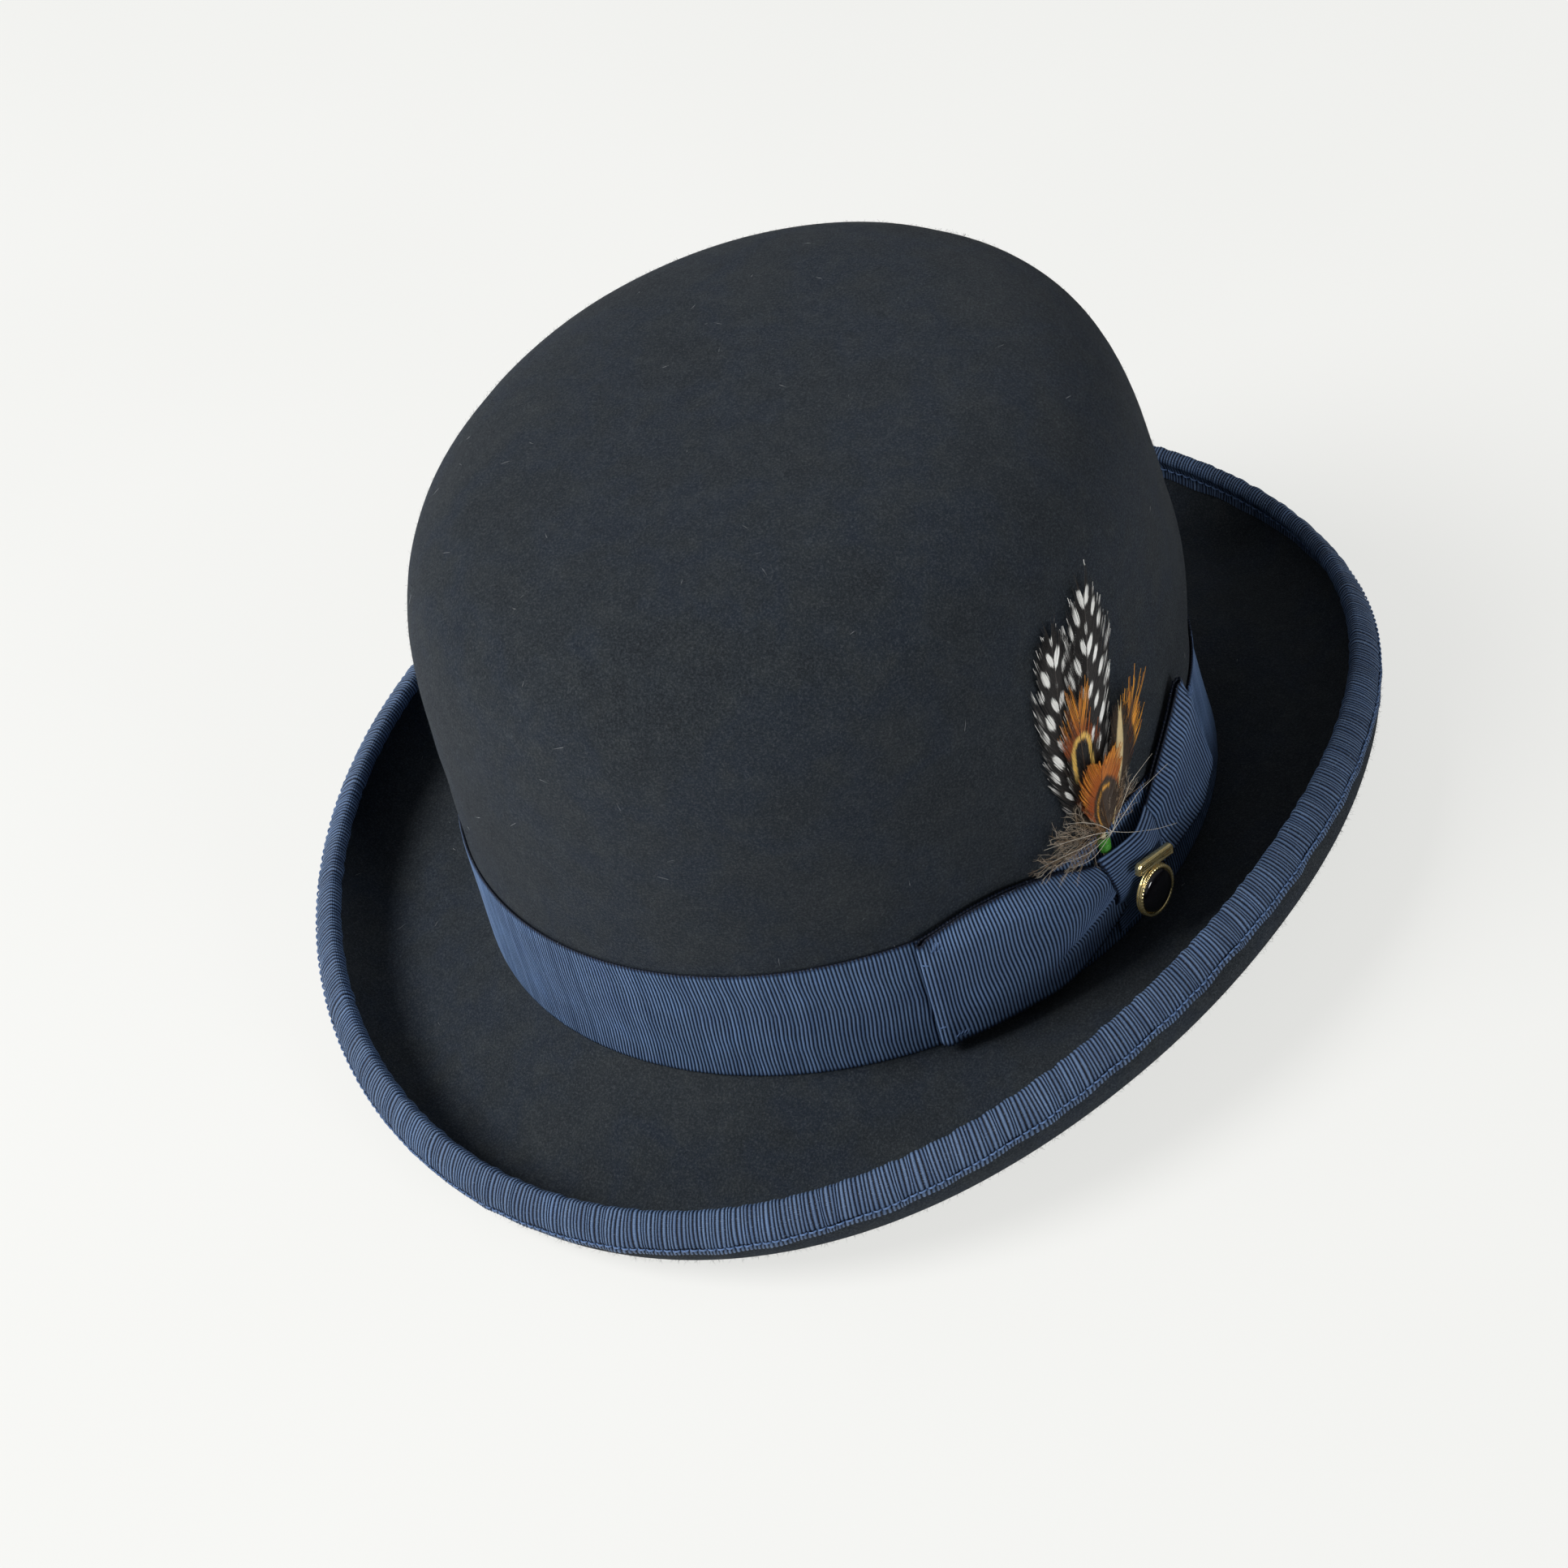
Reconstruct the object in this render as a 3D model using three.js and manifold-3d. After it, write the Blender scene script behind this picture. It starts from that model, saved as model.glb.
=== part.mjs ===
// Bowler hat: a stiff wool-felt body with a rolled brim, bound in grosgrain,
// trimmed with a hat band, a side bow, a removable feather spray and a small
// badge, and fitted inside with a sweatband and a lining.
//
// Frame: millimetres, +Z up, origin under the middle of the hat on the plane
// it rests on. The wearer looks along -Y; the bow is on +X, the wearer's left.
// Angles run round the hat: 0 at +X, 90 degrees at +Y (the back).

import * as THREE from 'three';
import { mergeVertices } from 'three/addons/utils/BufferGeometryUtils.js';
import Module from 'manifold-3d';

// ---------------------------------------------------------------- dimensions
const FACETS = 40;            // round the hat

const HALF_WIDTH = 90.4;      // outside of the crown at its foot, ear to ear
const HALF_LENGTH = 99.7;     // outside of the crown at its foot, front to back
const EGG = 0.019;            // the oval is a little wider behind
const FELT = 2.4;             // felt thickness
const CROWN_HEIGHT = 129.6;   // crown foot to top
const CROWN_TAPER = 0.0694;   // narrowing of the crown wall, foot to top
const SQUARE_UP = 9.29;       // how square the crown's shoulder is, upwards
const SQUARE_IN = 3.15;       // and inwards
const CROWN_TOP_SLOPE = 0.0152;  // the top rises towards the back
const CROWN_LEAN = 0.0084;       // and the crown leans back
const FOOT_Z = 14.9;          // crown foot above the resting plane
const FOOT_SIDE_DROP = 2.48;  // the foot line dips at the sides
const FOOT_PITCH = 3.46;      // and is higher in front

const BRIM_WIDTH = 54;        // mean width along the brim's curve
const BRIM_SIDE_LOSS = 3.4;   // less at the sides than front and back
const BRIM_FRONT_GAIN = 2.35; // and more in front than behind
// Brim slopes in radians: mean, then the parts in cos 2a, sin a and sin 3a.
const START_SLOPE = [-0.183, 0.346, 0.097, 0];       // leaving the crown
const EDGE_SLOPE = [2.671, 0.250, -0.1165, 0.0586];  // at the rolled edge
const CURL_FROM = 0.405;      // fraction of the brim's width where the roll begins
const CURL_POWER = 1.824;
const BRIM_STEPS = 120;       // steps in tracing the brim's curve

const RIBBON = 0.6;           // grosgrain thickness
const GAP = 0.3;              // between felt and ribbon

// ------------------------------------------------------------ hat's surfaces
const lerp = (from, to, fraction) => from + (to - from) * fraction;

const slopeAt = ([mean, cos2, sin1, sin3], angle) =>
  mean + cos2 * Math.cos(2 * angle) + sin1 * Math.sin(angle) + sin3 * Math.sin(3 * angle);

// Height of the crown's foot line about FOOT_Z.
const footRise = angle => -FOOT_SIDE_DROP * Math.cos(2 * angle) - FOOT_PITCH * Math.sin(angle);

const oval = angle => [
  HALF_WIDTH * Math.cos(angle) * (1 + EGG * Math.sin(angle)),
  HALF_LENGTH * Math.sin(angle),
];

function ovalNormal(angle) {
  const egg = -Math.sin(angle) * (1 + EGG * Math.sin(angle)) + EGG * Math.cos(angle) ** 2;
  const x = HALF_WIDTH * egg;
  const y = HALF_LENGTH * Math.cos(angle);
  const length = Math.hypot(x, y);
  return [y / length, -x / length];
}

// A point of the crown at a fraction of its height, `out` beyond its outer face.
function crown(angle, height, out = 0) {
  const inset = Math.pow(1 - Math.pow(height, SQUARE_UP), 1 / SQUARE_IN);
  const outward = SQUARE_IN * Math.pow(inset, SQUARE_IN - 1) / HALF_WIDTH;
  const upward = SQUARE_UP * Math.pow(height, SQUARE_UP - 1) / CROWN_HEIGHT;
  const length = Math.hypot(outward, upward);
  const outXY = out * outward / length;
  const scale = (1 - CROWN_TAPER * height) * inset;
  const [ovalX, ovalY] = oval(angle);
  const [normalX, normalY] = ovalNormal(angle);
  const x = ovalX * scale + normalX * outXY;
  const y = ovalY * scale + normalY * outXY;
  const z = footRise(angle) * (1 - height)
    + (CROWN_HEIGHT + CROWN_TOP_SLOPE * y) * height + out * upward / length;
  return new THREE.Vector3(x, y + CROWN_LEAN * z, z + FOOT_Z);
}

// The middle of the crown's top.
const crownPole = out =>
  new THREE.Vector3(0, CROWN_LEAN * CROWN_HEIGHT, CROWN_HEIGHT + FOOT_Z + out);

// A point of the crown wall `up` above its foot.
const wall = (angle, up, out) => crown(angle, up / (CROWN_HEIGHT - footRise(angle)), out);
// The same, placed by distance from the middle of the +X side, positive to the back.
const side = (along, up, out) => wall(along / HALF_LENGTH, up, out);

// The brim's section at an angle: its slope, and points [distance out, height].
const brimSections = new Map();
function brimSection(angle) {
  const key = angle.toFixed(6);
  if (brimSections.has(key)) return brimSections.get(key);
  const width = BRIM_WIDTH - BRIM_SIDE_LOSS * Math.cos(2 * angle)
    - BRIM_FRONT_GAIN * Math.sin(angle);
  const start = slopeAt(START_SLOPE, angle);
  const edge = slopeAt(EDGE_SLOPE, angle);
  const slope = station => {
    const curl = Math.max(0, (station - CURL_FROM) / (1 - CURL_FROM));
    return lerp(start, edge, Math.pow(curl, CURL_POWER));
  };
  const curve = [[0, 0]];
  for (let i = 0; i < BRIM_STEPS; i++) {
    const middle = slope((i + 0.5) / BRIM_STEPS);
    const [reach, rise] = curve[i];
    curve.push([
      reach + Math.cos(middle) * width / BRIM_STEPS,
      rise + Math.sin(middle) * width / BRIM_STEPS,
    ]);
  }
  const section = { slope, curve };
  brimSections.set(key, section);
  return section;
}

// A point of the brim: station 0 to 1 along it, `above` its upper face,
// `beyond` that station along the curve's own direction.
function brim(angle, station, above = 0, beyond = 0) {
  const { slope, curve } = brimSection(angle);
  const place = Math.min(BRIM_STEPS - 1e-9, station * BRIM_STEPS);
  const i = Math.floor(place);
  const tilt = slope(station);
  const reach = lerp(curve[i][0], curve[i + 1][0], place - i)
    - Math.sin(tilt) * above + Math.cos(tilt) * beyond;
  const rise = lerp(curve[i][1], curve[i + 1][1], place - i)
    + Math.cos(tilt) * above + Math.sin(tilt) * beyond;
  const [x, y] = oval(angle);
  const [normalX, normalY] = ovalNormal(angle);
  return new THREE.Vector3(
    x + normalX * reach, y + normalY * reach, footRise(angle) + rise + FOOT_Z);
}

// ------------------------------------------------------------ mesh builders
// Builds a closed skin, turned so that its faces look outwards.
function geometryFrom(points, triangles) {
  const geometry = new THREE.BufferGeometry();
  const coordinates = points.flatMap(p => [p.x, p.y, p.z]);
  geometry.setAttribute('position', new THREE.Float32BufferAttribute(coordinates, 3));
  let volume = 0;
  for (const [i, j, k] of triangles) {
    volume += points[i].dot(new THREE.Vector3().crossVectors(points[j], points[k]));
  }
  geometry.setIndex(triangles.flatMap(([i, j, k]) => (volume < 0 ? [i, k, j] : [i, j, k])));
  geometry.computeVertexNormals();
  return geometry;
}

// Triangles between two closed rows of points, given their first indices.
function joinRows(from, to, count) {
  const triangles = [];
  for (let i = 0; i < count; i++) {
    const j = (i + 1) % count;
    triangles.push([from + i, from + j, to + j], [from + i, to + j, to + i]);
  }
  return triangles;
}

const angles = Array.from({ length: FACETS }, (_, i) => i / FACETS * Math.PI * 2);
const ring = pointAt => angles.map(angle => pointAt(angle));

// Rings round the hat, joined in order. With poles, the first and last rings
// close on a point each; without, the last ring joins the first.
function rings(list, poles = null) {
  const points = list.flat();
  const triangles = [];
  const last = list.length - 1;
  for (let k = 0; k < (poles ? last : list.length); k++) {
    triangles.push(...joinRows(k * FACETS, ((k + 1) % list.length) * FACETS, FACETS));
  }
  if (poles) {
    const first = points.push(...poles) - 2;
    for (let i = 0; i < FACETS; i++) {
      const j = (i + 1) % FACETS;
      triangles.push([first, j, i], [first + 1, last * FACETS + i, last * FACETS + j]);
    }
  }
  return geometryFrom(points, triangles);
}

// Rings up one face of a layer and back down the other.
const layer = (stations, surface, outer, inner) => [
  ...stations.map(station => ring(angle => surface(angle, station, outer))),
  ...[...stations].reverse().map(station => ring(angle => surface(angle, station, inner))),
];

// A strip lofted through sections; each section lists its outer points and
// then its inner points back again, so its ends close pair by pair.
function loft(sections) {
  const count = sections[0].length;
  const end = (sections.length - 1) * count;
  const triangles = [];
  for (let start = 0; start < end; start += count) {
    triangles.push(...joinRows(start, start + count, count));
  }
  for (let i = 0; i < count / 2 - 1; i++) {
    const j = count - 1 - i;
    triangles.push([i, j - 1, i + 1], [i, j, j - 1]);
    triangles.push([end + i, end + i + 1, end + j - 1], [end + i, end + j - 1, end + j]);
  }
  return geometryFrom(sections.flat(), triangles);
}

// Piecewise-linear lookup in rows of [x, y], level beyond the ends.
function table(rows) {
  return x => {
    if (x <= rows[0][0]) return rows[0][1];
    const i = rows.findIndex(row => x <= row[0]);
    if (i < 0) return rows[rows.length - 1][1];
    const [x0, y0] = rows[i - 1];
    const [x1, y1] = rows[i];
    return lerp(y0, y1, (x - x0) / (x1 - x0));
  };
}

function merged(geometry) {
  const bare = geometry.clone();
  bare.deleteAttribute('normal');
  bare.deleteAttribute('uv');
  return mergeVertices(bare, 1e-4);
}

// Welds a lathe or extrusion into a single closed skin without slivers.
function weld(geometry) {
  const { attributes: { position }, index } = merged(geometry);
  const points = Array.from({ length: position.count },
    (_, i) => new THREE.Vector3().fromBufferAttribute(position, i));
  const triangles = [];
  for (let i = 0; i < index.count; i += 3) {
    const corners = [...index.array.slice(i, i + 3)];
    if (new Set(corners).size === 3) triangles.push(corners);
  }
  return geometryFrom(points, triangles);
}

const toVectors = rows => rows.map(([x, y]) => new THREE.Vector2(x, y));
const lathe = (profile, segments) => new THREE.LatheGeometry(toVectors(profile), segments);

const wasm = await Module();
wasm.setup();

function toSolid(geometry) {
  const { attributes, index } = merged(geometry);
  return new wasm.Manifold(new wasm.Mesh({
    numProp: 3,
    vertProperties: new Float32Array(attributes.position.array),
    triVerts: new Uint32Array(index.array),
  }));
}

function cut(geometry, tool) {
  const mesh = toSolid(geometry).subtract(toSolid(tool)).getMesh();
  const result = new THREE.BufferGeometry();
  const coordinates = Array.from(mesh.vertProperties);
  result.setAttribute('position', new THREE.Float32BufferAttribute(coordinates, 3));
  result.setIndex(Array.from(mesh.triVerts));
  result.computeVertexNormals();
  return result;
}

// ----------------------------------------------------------------- finishes
const FINISH = {
  felt: { color: 0x30363c, roughness: 0.95 },
  ribbon: { color: 0x37486a, roughness: 0.7 },
  thread: { color: 0x2c4468, roughness: 0.6 },
  stem: { color: 0xcfc3a2, roughness: 0.6 },
  stemWrap: { color: 0x3f9a2e, roughness: 0.6 },
  gilt: { color: 0xd9b25c, roughness: 0.25, metalness: 1 },
  enamel: { color: 0x0c0c0e, roughness: 0.12 },
  steel: { color: 0xc9ccd0, roughness: 0.3, metalness: 1 },
  clutch: { color: 0xc8a75a, roughness: 0.35, metalness: 1 },
  sweatband: { color: 0x23262c, roughness: 0.6 },
  reed: { color: 0x1c1e22, roughness: 0.5 },
  innerBow: { color: 0x20304e, roughness: 0.7 },
  label: { color: 0xe9e6dc, roughness: 0.8 },
  satin: { color: 0x1d2a44, roughness: 0.35 },
};
const FEATHER_ROUGHNESS = 0.75;

const hat = new THREE.Group();
hat.name = 'bowler_hat';

function add(name, geometry, finish, parent = hat) {
  const mesh = new THREE.Mesh(geometry, new THREE.MeshStandardMaterial(finish));
  mesh.name = name;
  parent.add(mesh);
}

// ------------------------------------------------------- badge's own frame
// Local +Z runs out along the post, +Y up and +X towards the hat's back.
const POST_ALONG = -3.6;      // badge post, along the band from the side
const POST_UP = 18.6;         // and above the crown's foot
const POST_TILT = 0.05;       // upward part of its direction
const POST_HOLE_RADIUS = 0.95;

const badgeFrame = new THREE.Group();
hat.add(badgeFrame);

function placeBadgeFrame() {
  const [normalX, normalY] = ovalNormal(POST_ALONG / HALF_LENGTH);
  const axis = new THREE.Vector3(normalX, normalY, POST_TILT).normalize();
  const up = new THREE.Vector3(0, 0, 1).addScaledVector(axis, -axis.z).normalize();
  const along = new THREE.Vector3().crossVectors(up, axis);
  badgeFrame.position.copy(side(POST_ALONG, POST_UP, 0));
  badgeFrame.quaternion.setFromRotationMatrix(new THREE.Matrix4().makeBasis(along, up, axis));
  badgeFrame.updateMatrix();
}
placeBadgeFrame();

// Drills the post's hole between two distances out from the felt.
function drill(geometry, from, to) {
  const tool = new THREE.CylinderGeometry(POST_HOLE_RADIUS, POST_HOLE_RADIUS, to - from, 12);
  tool.rotateX(Math.PI / 2).translate(0, 0, (from + to) / 2).applyMatrix4(badgeFrame.matrix);
  return cut(geometry, tool);
}

// ---------------------------------------------------------------- felt body
// One blocked piece of felt: crown and brim in a single skin. The dipped front
// and back of the brim are pressed flat where they touch the table.
function addFeltBody() {
  const brimStations = [
    0, 0.13, 0.26, 0.38, 0.47, 0.53, 0.575, 0.62, 0.665, 0.72, 0.79, 0.86, 0.93, 1];
  const crownStations = [0.09, 0.27, 0.45, 0.62, 0.76, 0.86, 0.92, 0.957, 0.98, 0.994];
  const pressed = (point, floor) => point.setZ(Math.max(point.z, floor));
  // Softens the inner corner between brim and crown.
  const innerCorner = angle =>
    wall(angle, 0, -FELT * 0.45).setZ(footRise(angle) + FOOT_Z - FELT * 0.85);
  const skin = [
    ...[...crownStations].reverse().map(height => ring(angle => crown(angle, height))),
    ...brimStations.map(station => ring(angle => pressed(brim(angle, station), FELT))),
    ...brimStations.slice(1).reverse()
      .map(station => ring(angle => pressed(brim(angle, station, -FELT), 0))),
    ring(innerCorner),
    ...[0.02, ...crownStations].map(height => ring(angle => crown(angle, height, -FELT))),
  ];
  const body = rings(skin, [crownPole(0), crownPole(-FELT)]);
  add('felt_body', drill(body, -6, 3), FINISH.felt);
}
addFeltBody();

// ------------------------------------------------------------- brim binding
// Grosgrain folded in half over the brim's edge, with its rows of stitching.
// Profile rows: station, above the upper face, beyond the station.
const brimRings = profile => rings(profile.map(row => ring(angle => brim(angle, ...row))));

function addBinding() {
  const near = GAP;
  const far = GAP + RIBBON;
  add('brim_binding', brimRings([
    [0.86, near], [0.93, near], [1, near, near],
    [1, -FELT - near, near], [0.93, -FELT - near], [0.86, -FELT - near],
    [0.86, -FELT - far], [0.93, -FELT - far], [1, -FELT - far],
    [1, -FELT - 0.2, far * 0.85], [1, -FELT / 2, far], [1, 0.2, far * 0.85],
    [1, far], [0.93, far], [0.86, far],
  ]), FINISH.ribbon);

  const threadHalfWidth = 0.2;
  const thread = (name, station, base, crest) => add(name, brimRings([
    [station, base, -threadHalfWidth], [station, base, threadHalfWidth], [station, base + crest],
  ]), FINISH.thread);
  thread('binding_thread_outer', 0.888, -FELT - far - 0.45, -0.35);
  thread('binding_thread_inner', 0.93, far + 0.3, 0.35);
}
addBinding();

// ----------------------------------------------------------------- hat band
const BAND_HEIGHT = 34.4;
const BAND_FOOT = 1;          // above the crown's foot
const BAND_LEVELLING = 0.265; // share of the foot line's rise taken off the top edge

function addHatBand() {
  const bandTop = angle => BAND_HEIGHT + BAND_FOOT - BAND_LEVELLING * footRise(angle);
  const bandPoint = (angle, height, out) =>
    wall(angle, lerp(BAND_FOOT, bandTop(angle), height), out);
  const band = rings(layer([0, 0.5, 1], bandPoint, GAP + RIBBON, GAP));
  add('hat_band', drill(band, -2, 3), FINISH.ribbon);
}
addHatBand();

// ---------------------------------------------------------------- side bow
// Each loop is ribbon running out from the knot and folded back on itself.
// outline(reach, across) gives [along, up]: reach from the knot to the fold.
// Path rows: reach, distance out from the felt.
function addBowLoop(name, outline, path) {
  const distance = (from, to) => {
    const [along0, up0] = outline(from, 0.5);
    const [along1, up1] = outline(to, 0.5);
    return Math.hypot(along1 - along0, up1 - up0);
  };
  const span = distance(0, 1);
  add(name, loft(path.map(([reach, out], k) => {
    const [reach0, out0] = path[Math.max(0, k - 1)];
    const [reach1, out1] = path[Math.min(path.length - 1, k + 1)];
    const run = distance(reach0, reach1) * Math.sign(reach1 - reach0);
    const rise = out1 - out0;
    const halfRibbon = RIBBON / 2 / Math.hypot(run, rise);
    const face = sign => [0, 0.33, 0.66, 1].map(across => side(
      ...outline(reach - sign * rise * halfRibbon / span, across),
      out + sign * run * halfRibbon));
    return [...face(1), ...face(-1).reverse()];
  })), FINISH.ribbon);
}

// Edges of the front loop, rows of [along, up].
const frontLoopBottom = table([
  [-62, 2.6], [-52, 4.2], [-42, 5.2], [-31, 5.6], [-22, 7], [-14, 8.6], [-7, 11]]);
const frontLoopTop = table([
  [-62, 35.5], [-55, 37.6], [-47, 39.3], [-40, 39.5],
  [-33, 38.4], [-24, 35.4], [-15, 30.5], [-7, 28]]);
function frontLoop(reach, across) {
  const along = lerp(-7, -61.2, reach);
  return [along, lerp(frontLoopBottom(along), frontLoopTop(along), across)];
}
addBowLoop('bow_front_loop', frontLoop, [
  [0, 3.7], [0.1, 4.1], [0.22, 4.9], [0.37, 5.4], [0.55, 5.3],
  [0.76, 4.6], [0.92, 3.9], [0.995, 3.6], [1.013, 2.65], [0.995, 1.75],
  [0.92, 1.7], [0.72, 1.7], [0.52, 1.7], [0.32, 1.7], [0.15, 1.7],
]);

// Corners of the rear loop, [along, up].
const REAR_LOOP = {
  knotBottom: [8, 11.5], knotTop: [3.5, 30], foldBottom: [39, 18], foldTop: [33, 49],
};
const rearLoop = (reach, across) => [0, 1].map(axis => lerp(
  lerp(REAR_LOOP.knotBottom[axis], REAR_LOOP.foldBottom[axis], reach),
  lerp(REAR_LOOP.knotTop[axis], REAR_LOOP.foldTop[axis], reach), across));
addBowLoop('bow_rear_loop', rearLoop, [
  [0, 3.7], [0.12, 4.0], [0.3, 4.7], [0.5, 5.0], [0.75, 4.6], [0.97, 3.6],
  [1.0, 2.65], [0.97, 1.75], [0.75, 1.7], [0.5, 1.7], [0.2, 1.7],
]);

// The knot: a short wrap of ribbon arched over the roots of both loops, with
// a ridge up its middle.
const KNOT = {
  turn: 6 * Math.PI / 180,
  along: -2.5, up: 19,        // its centre
  halfLength: 14, halfWidth: 9.4,
  waist: 0.8,                 // narrowing of the half width at mid length
  edgeDrop: 2.1, edgeOut: 1.5,  // edges fall this far, but stay this far out
};
// Rows: fraction up the knot, distance of its ridge out from the felt.
const knotRidge = table([
  [0, 2.0], [0.08, 5.4], [0.2, 7.1], [0.5, 7.5], [0.8, 7.3], [0.92, 6.9], [1, 6.2]]);

function addKnot() {
  const cos = Math.cos(KNOT.turn);
  const sin = Math.sin(KNOT.turn);
  const strip = loft([0, 0.08, 0.2, 0.35, 0.5, 0.65, 0.8, 0.92, 1].map(fraction => {
    const lengthwise = lerp(-KNOT.halfLength, KNOT.halfLength, fraction);
    const half = KNOT.halfWidth - KNOT.waist * Math.sin(Math.PI * fraction);
    const ridge = knotRidge(fraction);
    const drop = Math.min(KNOT.edgeDrop, ridge - KNOT.edgeOut);
    const face = lift => [-1, -0.5, 0, 0.5, 1].map(across => side(
      KNOT.along + across * half * cos - lengthwise * sin,
      KNOT.up + across * half * sin + lengthwise * cos,
      ridge - drop * Math.pow(Math.abs(across), 1.3) + lift));
    return [...face(RIBBON), ...face(0).reverse()];
  }));
  add('bow_knot', drill(strip, 4, 8.6), FINISH.ribbon);
}
addKnot();

// ------------------------------------------------------------ feather spray
// Quills bound to a common stem that tucks down behind the bow, so the whole
// spray lifts straight out along the stem.
const stemFoot = side(-10.4, 13, 2.3);
const stemTop = side(-8.6, 37, 2.3);
const stemDirection = new THREE.Vector3().subVectors(stemTop, stemFoot).normalize();

// A round piece on the stem's line; profile rows: radius, fraction of its length.
function addOnStem(name, from, to, profile, segments, finish) {
  const length = from.distanceTo(to);
  const turn = new THREE.Quaternion().setFromUnitVectors(
    new THREE.Vector3(0, 1, 0), stemDirection);
  const scaled = profile.map(([radius, fraction]) => [radius, fraction * length]);
  const bar = lathe(scaled, segments).applyQuaternion(turn).translate(from.x, from.y, from.z);
  add(name, weld(bar), finish);
}
const onStem = distance => stemFoot.clone().addScaledVector(stemDirection, distance);
addOnStem('feather_stem', stemFoot, stemTop,
  [[0, 0], [0.5, 0], [0.75, 0.08], [0.75, 0.96], [0, 1]], 8, FINISH.stem);
addOnStem('stem_wrap', onStem(18.2), onStem(22.4),
  [[1.05, 0], [1.5, 0], [1.6, 0.5], [1.5, 1], [1.05, 1], [1.05, 0]], 10, FINISH.stemWrap);

// Name, colour, base and tip as [along, up], sideways bend (positive to the
// back), half width, distance out from the felt, thickness.
const FEATHERS = [
  ['guinea_feather_back', 0x26252a, [-10.2, 40], [-7.6, 95], -3.2, 8.4, 1.5, 0.45],
  ['guinea_feather_front', 0x2a292d, [-9.4, 40], [5.4, 98], -2.5, 9.0, 2.3, 0.45],
  ['pheasant_feather_left', 0xb5602a, [-9.6, 41], [-6.8, 78], -1.6, 5.8, 3.1, 0.45],
  ['pheasant_feather_right', 0xb9712c, [-6.5, 41], [10.6, 69], -0.8, 4.8, 3.9, 0.45],
  ['striped_feather', 0x3a3226, [-6.6, 41], [3.4, 66], 0.6, 3.8, 4.7, 0.45],
  ['pheasant_feather_center', 0xa85a28, [-9.4, 41], [-6.8, 58], -1.0, 7.0, 5.5, 0.45],
  ['down_tuft', 0x7d7266, [-8.8, 38.5], [-7.5, 55], -1.5, 8.5, 6.3, 1.4],
];

function addFeather([name, color, base, tip, bend, halfWidth, out, thickness]) {
  const run = tip[0] - base[0];
  const rise = tip[1] - base[1];
  const length = Math.hypot(run, rise);
  const across = [rise / length, -run / length];
  add(name, loft([0, 0.12, 0.3, 0.5, 0.7, 0.86, 1].map(fraction => {
    const bent = bend * Math.sin(Math.PI * fraction);
    const swell = Math.sin(Math.PI * (0.06 + 0.9 * Math.pow(fraction, 0.85)));
    const half = halfWidth * Math.pow(swell, 0.6);
    const face = lift => [-1, 0, 1].map(edge => {
      const offset = bent + edge * half;
      return side(
        lerp(base[0], tip[0], fraction) + across[0] * offset,
        lerp(base[1], tip[1], fraction) + across[1] * offset, out + lift);
    });
    return [...face(thickness), ...face(0).reverse()];
  })), { color, roughness: FEATHER_ROUGHNESS });
}
FEATHERS.forEach(addFeather);

// ------------------------------------------------------------------- badge
// A plain oval cabochon in a gilt bezel under a gilt bar, turning on its post.
const BADGE_TURN = -15 * Math.PI / 180;
const BADGE_BACK = 8.8;       // back of the badge, out from the felt
const BADGE_HALF_WIDTH = 6.2;
const BADGE_HALF_HEIGHT = 6.7;
const BADGE_DROP = 1.7;       // centre of the oval below the post
const BAR_FOOT = 5.35;        // bar's lower edge above the post
const BAR_THICKNESS = 1.7;
const POST_RADIUS = 0.55;
const POST_END = BADGE_BACK - 0.3;

function addBadge() {
  const turned = new THREE.Group();
  turned.rotation.z = BADGE_TURN;
  badgeFrame.add(turned);

  // Profile rows: fraction of the oval's radius, distance out from the back.
  const addOval = (name, profile, finish) => {
    const geometry = lathe(profile, 20).rotateX(Math.PI / 2)
      .scale(BADGE_HALF_WIDTH, BADGE_HALF_HEIGHT, 1).translate(0, -BADGE_DROP, BADGE_BACK);
    add(name, weld(geometry), finish, turned);
  };
  addOval('badge_bezel', [
    [0, 0], [0.94, 0], [1, 0.35], [1, 1.5], [0.94, 1.9], [0.86, 1.9], [0.86, 0.9], [0, 0.9],
  ], FINISH.gilt);
  addOval('badge_enamel', [
    [0, 1.2], [0.81, 1.2], [0.81, 1.7], [0.7, 2.3], [0.45, 2.75], [0, 2.95],
  ], FINISH.enamel);

  const barOutline = new THREE.Shape(toVectors([
    [-6.4, 0], [6.4, 0], [6.4, 2.2], [5.6, 3.0], [-5.6, 3.0], [-6.4, 2.2]]));
  const bar = new THREE.ExtrudeGeometry(barOutline, { depth: BAR_THICKNESS, bevelEnabled: false });
  add('badge_bar', weld(bar.translate(0, BAR_FOOT, BADGE_BACK)), FINISH.gilt, turned);

  // Profile rows: radius, distance out from the felt.
  const post = lathe([
    [0, -4.75], [0.3, -4.3], [POST_RADIUS, -3.6], [POST_RADIUS, POST_END], [0, POST_END],
  ], 12).rotateX(Math.PI / 2);
  add('badge_post', weld(post), FINISH.steel, turned);
  const clutch = lathe([
    [0.9, -4.3], [2.2, -4.3], [2.4, -3.5], [3.4, -3.3], [3.4, -2.85], [0.9, -2.85], [0.9, -4.3],
  ], 14).rotateX(Math.PI / 2);
  add('badge_clutch', weld(clutch), FINISH.clutch, badgeFrame);
}
addBadge();

// --------------------------------------------------------------- sweatband
// Sewn in along the crown's foot and standing a little off the felt above.
const SWEAT_HEIGHT = 37;
const SWEAT_THICKNESS = 1.1;
const REED_HALF = 0.75;       // half diagonal of the reed's square section
const sweatOut = up => -3.5 - 3.1 * Math.pow(up / SWEAT_HEIGHT, 1.2);

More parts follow.
